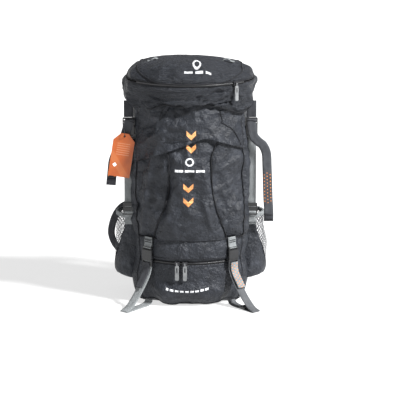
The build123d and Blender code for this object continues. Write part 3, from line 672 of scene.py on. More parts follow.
def tag_card_finish(name, centre_x, top_z):
    """Printed card: orange with a paler band, plain rule lines and a small plain diamond."""
    finish = Finish(name, roughness=0.42, coat=0.15)
    source, x, _, z = finish.place()
    lean_x, lean_z = math.cos(TAG_LEAN), math.sin(TAG_LEAN)
    u = (x - centre_x) * lean_x - (z - top_z) * lean_z
    v = (x - centre_x) * lean_z + (z - top_z) * lean_x
    cloud = finish.noise(source, 40, 3.0)
    colour = finish.ramp(cloud, [(0.3, (0.335, 0.064, 0.005)), (0.7, (0.395, 0.084, 0.008))])
    band = (u * 1.3 + v + 92 * MM).abs() < 14 * MM
    colour = finish.mix(band * 0.15, colour, (0.55, 0.26, 0.11))
    lines = ((v / (6 * MM)) % 1.0 < 0.28) * (v > -60 * MM) * (v < -24 * MM) * ((u - 4 * MM).abs() < 17 * MM)
    colour = finish.mix(lines * 0.40, colour, (0.62, 0.36, 0.22))
    diamond = ((u + 12 * MM).abs() + (v + 88 * MM).abs()) < 6 * MM
    colour = finish.mix(diamond, colour, (0.85, 0.85, 0.82))
    normal = finish.bump(cloud, 0.0008, 0.3)
    return finish.join(colour=colour, normal=normal)


def plain_metal(name, colour, roughness):
    """Bare metal with a fine brushed grain."""
    finish = Finish(name, roughness=roughness, metallic=1.0)
    source = finish.place()[0]
    brushed = finish.noise(source, 400, 3.0)
    tone = finish.ramp(brushed, [(0.3, colour), (0.8, tuple(min(1, c * 1.4) for c in colour))])
    normal = finish.bump(brushed, 0.0001, 0.4)
    return finish.join(colour=tone, roughness=brushed * 0.2 + roughness - 0.1, normal=normal)


CLOTH = pack_cloth("pack_cloth")
CLOTH_DARK = pack_cloth("pack_cloth_base", tint=0.75)
CLOTH_POCKET = pack_cloth("pack_cloth_pocket", pocket_print)
CLOTH_YOKE = pack_cloth("pack_cloth_yoke", yoke_print)
CLOTH_LOWER = pack_cloth("pack_cloth_lower", lower_print)
CLOTH_LID = pack_cloth("pack_cloth_lid", lid_print)
PIPING = webbing("covered_piping", (0.006, 0.006, 0.008), (0.016, 0.017, 0.02))
GREY_WEB = webbing("grey_webbing", (0.13, 0.14, 0.145), (0.30, 0.315, 0.32))
MID_WEB = webbing("mid_webbing", (0.050, 0.053, 0.058), (0.135, 0.140, 0.148))
FRONT_DOT_WEB = webbing("front_dotted_webbing", (0.13, 0.14, 0.145), (0.30, 0.315, 0.32), dots=(0.002, 0.125))
DARK_WEB = webbing("dark_webbing", (0.020, 0.021, 0.025), (0.060, 0.063, 0.071))
TAIL_WEB = webbing("tail_webbing", (0.030, 0.032, 0.037), (0.095, 0.10, 0.11), dots=(0.150, 0.235))
DARK_WEB_SOLID = moulded_plastic("chest_strap", (0.016, 0.017, 0.02), (0.035, 0.036, 0.04), 0.7)
CORD_FINISH = moulded_plastic("braided_cord", (0.010, 0.010, 0.012), (0.045, 0.046, 0.050), 0.8)
PLASTIC = moulded_plastic("black_acetal", (0.006, 0.006, 0.007), (0.016, 0.0165, 0.018), 0.30)
PULL = moulded_plastic("grey_pull", (0.13, 0.135, 0.14), (0.24, 0.245, 0.25), 0.5)
FRAME_PLASTIC = moulded_plastic("frame_sheet_plastic", (0.55, 0.55, 0.52), (0.7, 0.7, 0.67), 0.45)
FOAM = foam_mesh("air_mesh")
NET = open_net("pocket_net")
SLIDER_METAL = plain_metal("slider_metal", (0.06, 0.06, 0.065), 0.4)
STAY_METAL = plain_metal("stay_aluminium", (0.62, 0.63, 0.65), 0.32)

# ---------------------------------------------------------------- the bag's skin

#            level, half width, front
BAG_ROWS = ((0.000, 0.108, -0.068), (0.006, 0.120, -0.086), (0.018, 0.1325, -0.102), (0.038, 0.1435, -0.115),
            (0.065, 0.1485, -0.1215), (0.095, 0.1490, -0.1235), (0.122, 0.1465, -0.1215), (0.155, 0.1455, -0.1190),
            (0.182, 0.143, -0.1125), (0.200, 0.1455, -0.1165), (0.250, 0.1495, -0.1225), (0.320, 0.1515, -0.1245),
            (0.400, 0.1495, -0.1220), (0.470, 0.145, -0.1155), (0.520, 0.140, -0.1085), (0.557, 0.1365, -0.103))
GIRTH = 0.90


def bag_shell():
    """The bag's skin as outlines at each level; between the listed levels widths follow a smooth curve."""
    knots = np.array(BAG_ROWS)
    fine = smooth_path(knots, 6)
    order = np.argsort(fine[:, 0])
    levels = np.linspace(0, knots[-1, 0], 141)
    half = np.interp(levels, fine[order, 0], fine[order, 1])
    front = np.interp(levels, fine[order, 0], fine[order, 2])
    rows = []
    for level, h, f in zip(levels, half, front):
        shrink = max(0.0, 1 - level / 0.04) ** 2 * 0.016
        outline = closed_outline(h, f, SHOULDER, BACK - shrink, CORNER, 0.008)[0]
        rows.append(np.column_stack([outline, np.full(len(outline), level)]))
    return Shell(levels, np.array(rows), GIRTH)


BAG = bag_shell()
FRONT_END = 0.152          # distance round the front where the side panels' seams run
SIDE_END = 0.322           # where the side panels meet the back panel

ZIP_END = 0.1045           # where the lower zip stops
STRAP_LANE = LOWER.radius * math.radians(STRAP_ANGLE)      # where the two front straps run
FLOOR_GAP = 0.0006         # lowest level of the cloth above the floor
SKIN_TOP = 0.557           # level at which the bag's outer panels end

# Creases: start (distance, level), end, width and depth, in metres
FRONT_CREASES = (
    ((-0.100, 0.405), (-0.130, 0.205), 0.007, 0.0035), ((-0.040, 0.375), (-0.075, 0.210), 0.006, -0.0020),
    ((0.060, 0.372), (0.140, 0.400), 0.006, 0.0026), ((0.062, 0.318), (0.120, 0.345), 0.005, 0.0022),
    ((0.030, 0.300), (0.052, 0.215), 0.006, 0.0018), ((-0.010, 0.260), (0.060, 0.290), 0.006, 0.0016),
    ((-0.120, 0.450), (-0.060, 0.480), 0.007, 0.0030), ((-0.140, 0.475), (-0.075, 0.505), 0.006, -0.0024),
    ((0.030, 0.520), (0.060, 0.475), 0.005, 0.0020), ((-0.015, 0.360), (-0.050, 0.300), 0.005, 0.0016),
    ((0.075, 0.236), (0.122, 0.300), 0.0075, 0.0042), ((0.090, 0.226), (0.138, 0.286), 0.005, -0.0050),
    ((-0.130, 0.360), (-0.150, 0.250), 0.007, -0.0030), ((0.100, 0.210), (0.150, 0.235), 0.006, 0.0022))
FRONT_CREASE_GAIN = 1.8
LOWER_CREASES = (
    ((-0.090, 0.100), (-0.030, 0.060), 0.006, 0.0022), ((0.020, 0.085), (0.080, 0.040), 0.006, 0.0020),
    ((-0.130, 0.060), (-0.080, 0.030), 0.006, -0.0022), ((0.080, 0.095), (0.135, 0.070), 0.006, 0.0024))
FACET_SIZE, FACET_DEPTH = 0.065, 0.0056
CRINKLE_SIZE, CRINKLE_DEPTH = 0.030, 0.0036
SLACK_SIZE, SLACK_DEPTH = 0.09, 0.0040
SWELL_SIZE, SWELL_DEPTH = 0.110, 0.0075
PULL_ROOM, PULL_ROOM_MOST = 0.0040, -0.0036      # the cloth behind the zip pulls: how far lowered, and its highest
PULL_REACH, PULL_FOOT = 0.13, 0.050              # distance round the front, and level, that the pulls stay within


def front_folds(s, z):
    """Height of the creases and slack on the bag's front and sides, in metres, at distance s and level z.

    Ridged noise in two sizes, smooth slack, a broad swell cubed so that its tops are narrow, and creases;
    all of it fades at the lower zip, under the front straps, behind the zip pulls and on the back.
    """
    upper = np.clip((z - SHELF) / 0.03, 0, 1)
    h = FACET_DEPTH * crumple(s, z * 0.8, FACET_SIZE, 3) + CRINKLE_DEPTH * crumple(s * 1.2, z, CRINKLE_SIZE, 8)
    h += SLACK_DEPTH * noise(s, z, 0.3, SLACK_SIZE, 5)
    h *= 0.55 + 0.45 * upper
    h += SWELL_DEPTH * (1 - np.abs(noise(s * 0.9 + z * 0.5, z - s * 0.4, 1.7, SWELL_SIZE, 15))) ** 3
    for start, end, width, depth in FRONT_CREASES:
        h = h + upper * crease(s, z, start, end, width, depth * FRONT_CREASE_GAIN)
    lower = np.clip((SHELF - z) / 0.03, 0, 1)
    away = 1 - np.exp(-((z - ZIP_LEVEL) / 0.026) ** 2)
    for start, end, width, depth in LOWER_CREASES:
        h = h + lower * crease(s, z, start, end, width, depth)
    strap_lane = np.exp(-((np.abs(s) - STRAP_LANE) / 0.024) ** 2) * np.clip((0.205 - z) / 0.02, 0, 1)
    behind = np.clip((np.abs(s) - 0.31) / 0.03, 0, 1)
    h = h * away * (1 - strap_lane) * (1 - 0.75 * behind)
    pull_room = np.clip((PULL_REACH - np.abs(s)) / 0.02, 0, 1) * np.clip((ZIP_LEVEL - z) / 0.01, 0, 1)
    pull_room = pull_room * np.clip((z - PULL_FOOT) / 0.02, 0, 1)
    h = h - 0.0012 * strap_lane * away
    return h * (1 - pull_room) + pull_room * np.minimum(h - PULL_ROOM, PULL_ROOM_MOST)


def seam_dip(lines, width=0.004, depth=0.0022):
    """Dip of the cloth towards a seam: depth * exp(-(distance/width)^2) from each line's distance."""
    return sum(-depth * np.exp(-(d / width) ** 2) for d in lines)


PIPING_ROWS = ((0.182, 0.104), (0.205, 0.093), (0.243, 0.076), (0.275, 0.064), (0.315, 0.0555), (0.380, 0.052),
               (0.415, 0.055), (0.447, 0.068), (0.475, 0.078), (0.520, 0.078), (0.557, 0.052))


def piping_at(z):
    """Distance of the piped seam from the front's middle at each level."""
    curve = smooth_path(np.array(PIPING_ROWS), 8)
    return np.interp(z, curve[:, 0], curve[:, 1])


def tent_at(s):
    """Level of the yoke's folded lower edge: two straight slopes from a soft apex right of the middle."""
    left = 0.461 - (0.037 - s) * 0.41
    right = 0.461 - (s - 0.037) * 0.36
    soft = 0.004
    return -soft * np.logaddexp(-left / soft, -right / soft)


def patch(name, s, z, lift, material, replaces, thickness=0.0016, folds=front_folds, shell=None, body="pack"):
    """One sewn panel: points of the skin at (s, z), raised by its folds and lift; the UV is (s, z)."""
    shell = shell or BAG
    s, z = np.broadcast_arrays(s, z)
    points = shell.at(s, z, folds(s, z) + lift)
    points[..., 2] = np.maximum(points[..., 2], FLOOR_GAP)
    obj = cloth_grid(name, points, np.stack([s, z], -1), thickness)
    return finish_piece(obj, body, material, replaces)


def rows(low, high, step=0.004):
    return np.linspace(low, high, max(3, int(abs(high - low) / step)))[:, None]


def columns(low, high, step=0.004):
    return np.linspace(low, high, max(3, int(abs(high - low) / step)))[None, :]


def seam_line(name, s, z, lift, radius, material=None, body="pack", replaces=(), shell=None,
              folds=front_folds):
    """Thin covered cord stitched along a seam."""
    s, z = np.broadcast_arrays(np.asarray(s, float), np.asarray(z, float))
    path = (shell or BAG).at(s, z, folds(s, z) + lift)
    path[..., 2] = np.maximum(path[..., 2], FLOOR_GAP + radius)
    return cord_tube(name, path, radius, body, material or PIPING, replaces, sides=8)


def build_bag():
    """Every outer panel of the bag, with the seams between them."""
    # centre panel with its pocket
    u = np.linspace(-1, 1, 60)[None, :]
    z = rows(SHELF, 0.470)
    s = u * piping_at(z)
    edge = (1 - np.abs(u)) * piping_at(z)
    plump = 0.006 * (1 - np.exp(-(edge / 0.012) ** 2)) * np.clip((tent_at(s) - z) / 0.03, 0, 1) - 0.0012
    patch("front_pocket_panel", s, z, plump, CLOTH_POCKET, ("front_panel", "front_pocket"))
    # side fronts
    for name, sign in SIDES:
        z = rows(SHELF, SKIN_TOP)
        t = np.linspace(0, 1, 34)[None, :]
        inner = piping_at(z)
        s = sign * (inner + (FRONT_END - inner) * (t if sign > 0 else 1 - t))
        patch(name + "_front_side", s, z, seam_dip([np.abs(s) - inner, FRONT_END - np.abs(s)]), CLOTH,
              (name + "_front_side_panel",))
        z = rows(0.0, SKIN_TOP)
        s = sign * np.linspace(FRONT_END, SIDE_END, 44)[None, :]
        s = s if sign > 0 else s[:, ::-1]
        patch(name + "_side", s, z, seam_dip([FRONT_END - np.abs(s), np.abs(s) - SIDE_END]), CLOTH,
              (name + "_side_panel",))
        seam_line(name + "_side_seam", sign * FRONT_END, np.linspace(0.0, SKIN_TOP, 120), 0.0, 0.0011)
        seam_line(name + "_back_seam", sign * SIDE_END, np.linspace(0.0, SKIN_TOP, 120), 0.0005, 0.0016)
        z = np.linspace(SHELF, SKIN_TOP, 110)
        seam_line(name + "_piping", sign * piping_at(z), z, 0.0010, 0.0015,
                  replaces=("seam_piping",) if sign < 0 else ())
    # back
    z = rows(0.0, SKIN_TOP)
    for name, low, high in (("back_right", SIDE_END, GIRTH / 2), ("back_left", -GIRTH / 2, -SIDE_END)):
        s = columns(low, high, 0.006)
        patch(name, s, z, 0.0, CLOTH, ("back_panel",) if low > 0 else ())
    # yoke over the top of the pocket
    s = columns(-0.150, 0.150, 0.0035)
    t = np.linspace(0, 1, 40)[:, None]
    low = tent_at(s)
    z = low + (SKIN_TOP - low) * t
    roll = 0.0065 * np.exp(-((z - low) / 0.012) ** 2) * np.exp(-(np.maximum(np.abs(s) - 0.10, 0) / 0.03) ** 2)
    patch("yoke", s, z, 0.0022 + roll, CLOTH_YOKE, ())
    x = np.linspace(-0.148, 0.148, 90)
    seam_line("yoke_edge", x, tent_at(x) + 0.001, 0.0062, 0.0013, material=PIPING)
    x = np.linspace(-0.058, 0.020, 30)
    seam_line("pocket_top_seam", x, 0.4545, 0.0060, 0.0010)
    for name, a, b in (("yoke_seam_left", (-0.045, 0.556), (-0.078, 0.505)),
                       ("yoke_seam_right", (0.052, 0.556), (0.088, 0.500)),
                       ("yoke_arc_right", (0.084, 0.498), (0.142, 0.432))):
        t = np.linspace(0, 1, 40)
        bow = 0.006 * np.sin(math.pi * t)
        seam_line(name, a[0] + (b[0] - a[0]) * t + bow, a[1] + (b[1] - a[1]) * t + bow, 0.0032, 0.0009)
    # lower compartment
    slot_low, slot_high = LOWER_ZIP_LO.z, LOWER_ZIP_HI.z
    s = columns(-FRONT_END, FRONT_END)
    z = rows(0.0, slot_low)
    patch("lower_front", s, z, 0.0, CLOTH_LOWER, ("lower_front_panel",), thickness=0.0022)
    for name, ends in (("left", (-FRONT_END, -ZIP_END)), ("right", (ZIP_END, FRONT_END))):
        across, up = columns(*ends), rows(slot_low - 0.002, slot_high + 0.002, 0.002)
        patch("zip_end_" + name, across, up, -0.0012, CLOTH, (),
              thickness=0.0018)
    z = rows(slot_high + 0.0007, SHELF)
    patch("lower_hood_cloth", s, z, 0.0, CLOTH, ("lower_hood",), thickness=0.0022)
    flap_low = slot_high + 0.004
    z = rows(flap_low, SHELF + 0.001, 0.0025)
    s = columns(-0.138, 0.138)
    wave = 0.0010 * noise(s, 0.0, 0.0, 0.03, 21) * np.clip((SHELF - z) / 0.03, 0, 1)
    patch("storm_flap_cloth", s, z, 0.0022 + wave, CLOTH, ("storm_flap",), thickness=0.0018)
    seam_line("storm_flap_hem", np.linspace(-0.138, 0.138, 90), flap_low + 0.0035, 0.0026, 0.0007)
    seam_line("shelf_seam", np.linspace(-FRONT_END, FRONT_END, 110), SHELF + 0.001, 0.0022, 0.0017)
    seam_line("base_seam_front", np.linspace(-SIDE_END, SIDE_END, 200), 0.012, 0.0004, 0.0012)
    # base
    ring = np.linspace(-GIRTH / 2, GIRTH / 2, 181)
    outer = BAG.at(ring, 0.0 * ring)
    middle = outer.mean(0)
    share = np.linspace(0, 1, 14)[:, None, None]
    disc = middle + (outer[None] - middle) * share
    disc[..., 2] = 0.0026
    disc[-1, :, 2] = 0.0029
    obj = mesh_object("base_cloth", disc.reshape(-1, 3), grid_faces(14, 181), disc[..., :2].reshape(-1, 2))
    wall = obj.modifiers.new("wall", "SOLIDIFY")
    wall.thickness = 0.002
    wall.offset = 1
    finish_piece(obj, "pack", CLOTH_DARK, ("base_panel",))


build_bag()

# ---------------------------------------------------------------- lid

LID_GIRTH = 0.92
LID_CENTRE = np.array([0.0, -0.015])
#           row value, scale, level
LID_PROFILE = ((0.00, 0.905, 0.545), (0.12, 0.955, 0.552), (0.30, 0.998, 0.571), (0.42, 1.008, 0.588),
               (0.50, 0.985, 0.602), (0.58, 0.955, 0.6155), (0.68, 0.880, 0.6300), (0.80, 0.710, 0.6440),
               (0.92, 0.380, 0.6540), (1.00, 0.004, 0.6570))


def hem_drop(s):
    """How far the lid's elastic hem hangs below or above its mean level round the front."""
    rear = np.clip((np.abs(s) - 0.29) / 0.05, 0, 1)
    drape = 0.011 * np.exp(-((s + 0.01) / 0.07) ** 2) - 0.022 * np.exp(-((s - 0.15) / 0.050) ** 2)
    return (drape - 0.006 * np.exp(-((s + 0.14) / 0.05) ** 2) - 0.004) * (1 - rear) + 0.0145 * rear


LID_CROSS_DROP = 0.019      # how far the crown falls towards its two sides
LID_CORNER, LID_SOFTEN = 0.040, 0.019


def lid_shell():
    """The lid's skin: its plan scaled and lifted row by row, with the hem's drape and the crown's fall."""
    outline = closed_outline(LID_HI.x - 0.001, LID_LO.y, SHOULDER, LID_HI.y, LID_CORNER, LID_SOFTEN)[0]
    profile = smooth_path(np.array(LID_PROFILE), 6)
    values = np.linspace(0, 1, 101)
    scale = np.interp(values, profile[:, 0], profile[:, 1])
    level = np.interp(values, profile[:, 0], profile[:, 2])
    s = np.linspace(0, LID_GIRTH, len(outline), endpoint=False)
    s = np.where(s > LID_GIRTH / 2, s - LID_GIRTH, s)
    table = []
    for v, k, z in zip(values, scale, level):
        flat = LID_CENTRE + (outline - LID_CENTRE) * k
        hang = hem_drop(s) * max(0.0, 1 - v / 0.42)
        crown = min(1.0, max(0.0, (v - 0.5) / 0.3))
        slope = LID_CROSS_DROP * crown * ((flat[:, 0] + 0.015) / LID_HI.x) ** 2
        table.append(np.column_stack([flat, z + hang - slope]))
    return Shell(values, np.array(table), LID_GIRTH)


LID_SKIN = lid_shell()

LID_GATHERS = (((-0.150, 0.45), (-0.020, 0.05), 0.050, -0.0060), ((-0.120, 0.25), (0.010, 0.02), 0.035, 0.0045),
               ((0.115, 0.42), (0.025, 0.06), 0.040, 0.0060), ((0.150, 0.30), (0.050, 0.02), 0.035, -0.0050),
               ((0.060, 0.45), (0.015, 0.08), 0.030, 0.0040), ((-0.060, 0.42), (0.000, 0.10), 0.030, 0.0036))
ROW_LENGTH = 0.35          # metres of cloth taken for one unit of row value


def lid_folds(s, v):
    """Deep gathers of the lid's side wall towards its elastic hem, and slack on the crown."""
    wall = np.clip((0.50 - v) / 0.12, 0, 1)
    crown = 1 - wall
    middle = np.clip((1 - v) * 4, 0, 1)
    h = wall * 0.0100 * crumple(s * 0.9 + v * 0.03, v * 0.16, 0.060, 31)
    h = h + wall * 0.0034 * crumple(s, v * 0.18, 0.024, 33)
    h = h + crown * middle * 0.0042 * crumple(s * 0.8, v * 0.25, 0.060, 35)
    h = h + crown * middle * 0.0016 * crumple(s, v * 0.3, 0.024, 37)
    for (s0, v0), (s1, v1), width, depth in LID_GATHERS:
        start, end = (s0, v0 * ROW_LENGTH), (s1, v1 * ROW_LENGTH)
        h = h + wall * crease(s, v * ROW_LENGTH, start, end, width * 0.20, depth)
    away = 1 - np.exp(-((v - 0.50) / 0.035) ** 2)
    front = np.clip((0.19 - np.abs(s)) / 0.03, 0, 1) * wall * np.clip((v - 0.12) / 0.06, 0, 1)
    behind = np.clip((np.abs(s) - 0.31) / 0.03, 0, 1)
    h = h * away * (1 - 0.7 * behind)
    return h * (1 - front) + front * np.minimum(h - 0.0035, -0.0004)


def lid_patch(name, s, v, lift, material, replaces, thickness=0.0018):
    return patch(name, s, v, lift, material, replaces, thickness, folds=lid_folds, shell=LID_SKIN, body="lid")


SEAM_BELOW, SEAM_ABOVE = 0.485, 0.515       # row values at the two edges of the lid's zip


def build_lid():
    """The lid's side wall, crown, piped seams and elastic hem."""
    whole = np.linspace(-LID_GIRTH / 2, LID_GIRTH / 2, 260)[None, :]
    lid_patch("lid_wall", whole, np.linspace(0.0, SEAM_BELOW, 34)[:, None], 0.0, CLOTH, ("lid_gusset",))
    lid_patch("lid_top", whole, np.linspace(SEAM_ABOVE, 1.0, 60)[:, None], 0.0, CLOTH_LID, ("lid_crown",))
    ring = np.linspace(-LID_GIRTH / 2, LID_GIRTH / 2, 260)
    for name, row, lift, radius in (("lid_seam_low", SEAM_BELOW, 0.0006, 0.0014),
                                    ("lid_seam_high", SEAM_ABOVE, 0.0006, 0.0014),
                                    ("lid_hem", 0.004, -0.0008, 0.0024)):
        seam_line(name, ring, row, lift, radius, body="lid", shell=LID_SKIN, folds=lid_folds)
    for name, side in SIDES:
        t = np.linspace(0, 1, 50)
        line_s = side * (0.075 + 0.155 * t)
        line_v = SEAM_ABOVE + 0.235 * np.sin(t * math.pi * 0.5) ** 1.4
        seam_line("lid_corner_" + name, line_s, line_v, 0.0010, 0.0014, body="lid", shell=LID_SKIN, folds=lid_folds)
    back_s = np.concatenate([np.linspace(0.23, LID_GIRTH / 2, 60), np.linspace(-LID_GIRTH / 2, -0.23, 60)])
    back = LID_SKIN.at(back_s, 0.75, lid_folds(back_s, 0.75) + 0.0010)
    cord_tube("lid_corner_back", back, 0.0014, "lid", PIPING)


FLAP_HALF = 0.108
#                y, level
FLAP_PROFILE = ((0.1066, 0.536), (0.1070, 0.547), (0.1074, 0.558), (0.1079, 0.568), (0.1083, 0.584))


def build_hinge_flap():
    """Cloth strip over the lid's hinge: a straight row across the back, carried up the flap's profile."""
    profile = smooth_path(np.array(FLAP_PROFILE), 5)
    x = np.linspace(FLAP_HALF, -FLAP_HALF, 48)[None, :]
    y, z = profile[:, :1], profile[:, 1:]
    points = np.stack(np.broadcast_arrays(x, y, z), -1)
    obj = cloth_grid("hinge_flap", points, points[..., [0, 2]], 0.0012)
    finish_piece(obj, None, CLOTH_DARK)
    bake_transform(obj)


build_lid()
build_hinge_flap()


def zip_piece(name, arc, level, half_angle, body, replaces):
    """Closed coil zip: a flat tape, and a tube along the arc whose radius ripples once per tooth."""
    face = arc.radius - 0.00075
    angle = np.radians(np.linspace(-half_angle, half_angle, 120))[None, :]
    z = np.linspace(level - 0.005, level + 0.005, 5)[:, None]
    degrees = np.degrees(angle)
    points = arc.point(degrees + 0 * z, face, z + 0 * angle)
    uv = np.stack(np.broadcast_arrays(angle * face, z), -1)
    tape = cloth_grid(name + "_tape", points, uv, 0.0012)
    finish_piece(tape, body, PIPING, replaces)
    teeth = int(2 * math.radians(half_angle) * face / 0.0022)
    steps = teeth * 4
    a = np.linspace(-half_angle, half_angle, steps)[:, None]
    turn = np.linspace(0, math.tau, 8, endpoint=False)[None, :]
    ripple = 1 + 0.22 * np.abs(np.sin(np.linspace(0, teeth * math.pi, steps)))[:, None]
    height = 0.0017 * ripple * np.sin(turn)
    out = 0.0010 * ripple * np.cos(turn)
    coil = arc.point(a + 0 * turn, face + 0.0010 + out, level + height)
    uv = np.stack(np.broadcast_arrays(np.radians(a) * face, turn * 0.0015), -1)
    obj = mesh_object(name + "_coil", coil.reshape(-1, 3), grid_faces(steps, 8, wrap=True), uv.reshape(-1, 2))
    make_consistent(obj)
    finish_piece(obj, body, PLASTIC)


zip_piece("lower_zip", LOWER, ZIP_LEVEL, 35, "pack", ("lower_zip",))
zip_piece("lid_zip", LID, LID_SEAM, 44, "lid", ("lid_zip",))

# ---------------------------------------------------------------- collar and linings


def inner_outline(inset, soften):
    half = BACK_HI.x + CORNER - inset
    return closed_outline(half, PANEL_LO.y + inset, SHOULDER, BACK - inset, CORNER - inset, soften)[0]


def level_sheet(name, outline, level, sag, body, replaces):
    """A flat cloth that fills an outline: rings shrunk towards the middle, sagging by sag * (1 - share^2)."""
    ring = np.vstack([outline, outline[:1]])[::4]
    middle = ring.mean(0)
    share = np.linspace(0, 1, 16)[:, None, None]
    flat = middle + (ring[None] - middle) * share
    slack = noise(flat[..., 0], flat[..., 1], 0.0, 0.05, 41) * 0.0012 * (1 - share[..., 0])
    z = level - sag * (1 - share[..., 0] ** 2) + slack
    points = np.concatenate([flat, z[..., None]], -1)
    obj = cloth_grid(name, points, flat, 0.0012)
    return finish_piece(obj, body, CLOTH_DARK, replaces)


def build_collar():
    """Gathered sleeve with its hem: outlines pushed in and out by ripples that grow towards the drawcord."""
    outline = inner_outline(0.0033, 0.010)
    ring = np.vstack([outline, outline[:1]])[::2]
    step = unit(np.gradient(ring, axis=0))
    out = np.stack([step[:, 1], -step[:, 0]], 1)
    s = np.linspace(0, 0.88, len(ring))
    collar_lo, collar_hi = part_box("storm_collar")
    rings = []
    for level in np.linspace(collar_lo.z, collar_hi.z - 0.0105, 14):
        pull = (level - collar_lo.z) / (collar_hi.z - collar_lo.z)
        ripple = 0.0018 * pull * np.sin(s * math.tau / 0.019 + 2 * noise(s, 0, 0, 0.06, 51)) - 0.0014 * pull
        rings.append(np.column_stack([ring + out * (ripple - 0.0006)[:, None], np.full(len(ring), level)]))
    middle = collar_hi.z - 0.0055
    for turn in np.linspace(-math.pi / 2, 1.5 * math.pi, 13):
        ripple = 1 + 0.14 * np.sin(s * math.tau / 0.013)
        inwards = -0.0010 + 0.0042 * ripple * math.cos(turn) * -1
        height = middle + 0.0050 * ripple * math.sin(turn)
        rings.append(np.column_stack([ring + out * (inwards - 0.0006)[:, None], height]))
    points = np.array(rings)
    uv = np.stack(np.broadcast_arrays(s[None, :], np.linspace(0, 0.08, len(rings))[:, None]), -1)
    obj = cloth_grid("storm_collar_cloth", points, uv, 0.0008)
    finish_piece(obj, "pack", CLOTH, ("storm_collar",))


build_collar()
level_sheet("divider_cloth", inner_outline(0.0045, 0.008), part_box("compartment_divider")[1].z - 0.0004, 0.003, "pack",
            ("compartment_divider",))
LINING_OUTLINE = closed_outline(LID_HI.x - 0.006, LID_LO.y + 0.006, SHOULDER, LID_HI.y - 0.004, 0.036, 0.016)[0]
level_sheet("lid_lining_cloth", LINING_OUTLINE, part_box("lid_lining")[1].z, 0.001, "lid", ("lid_lining",))

# ---------------------------------------------------------------- mesh pockets

POCKET_LO, POCKET_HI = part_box("right_mesh_pocket")
POCKET_RADIUS = POCKET_HI.x - POCKET_LO.x
POCKET_Y = (POCKET_LO.y + POCKET_HI.y) / 2
#             share of height, radius factor
POCKET_ROWS = ((0.0, 0.80), (0.02, 0.93), (0.07, 1.01), (0.20, 1.06), (0.45, 1.07), (0.70, 1.01), (0.88, 0.945),
               (1.0, 0.93))


def pocket_ring(side, turn, share, extra=0.0):
    """Point of the pocket: a half circle whose radius follows the rows and ripples near the elastic."""
    profile = smooth_path(np.array(POCKET_ROWS), 6)
    factor = np.interp(share, profile[:, 0], profile[:, 1])
    pucker = 0.0022 * np.sin(turn * 21) * np.clip((share - 0.62) / 0.38, 0, 1) ** 1.5
    slack = 0.0035 * noise(turn * 0.05, share * 0.16, side, 0.045, 61) * np.sin(np.clip(share, 0, 1) * math.pi)
    radius = POCKET_RADIUS * factor + pucker + slack + extra
    edge = np.abs(np.sin(turn)) ** 6
    radius = radius * (1 - edge) + (POCKET_RADIUS * 0.985 + extra) * edge
    x = side * (POCKET_LO.x - 0.001 + radius * np.cos(turn))
    y = POCKET_Y + radius * np.sin(turn)
    z = POCKET_LO.z + share * (POCKET_HI.z - POCKET_LO.z)
    return np.stack(np.broadcast_arrays(x, y, z), -1)


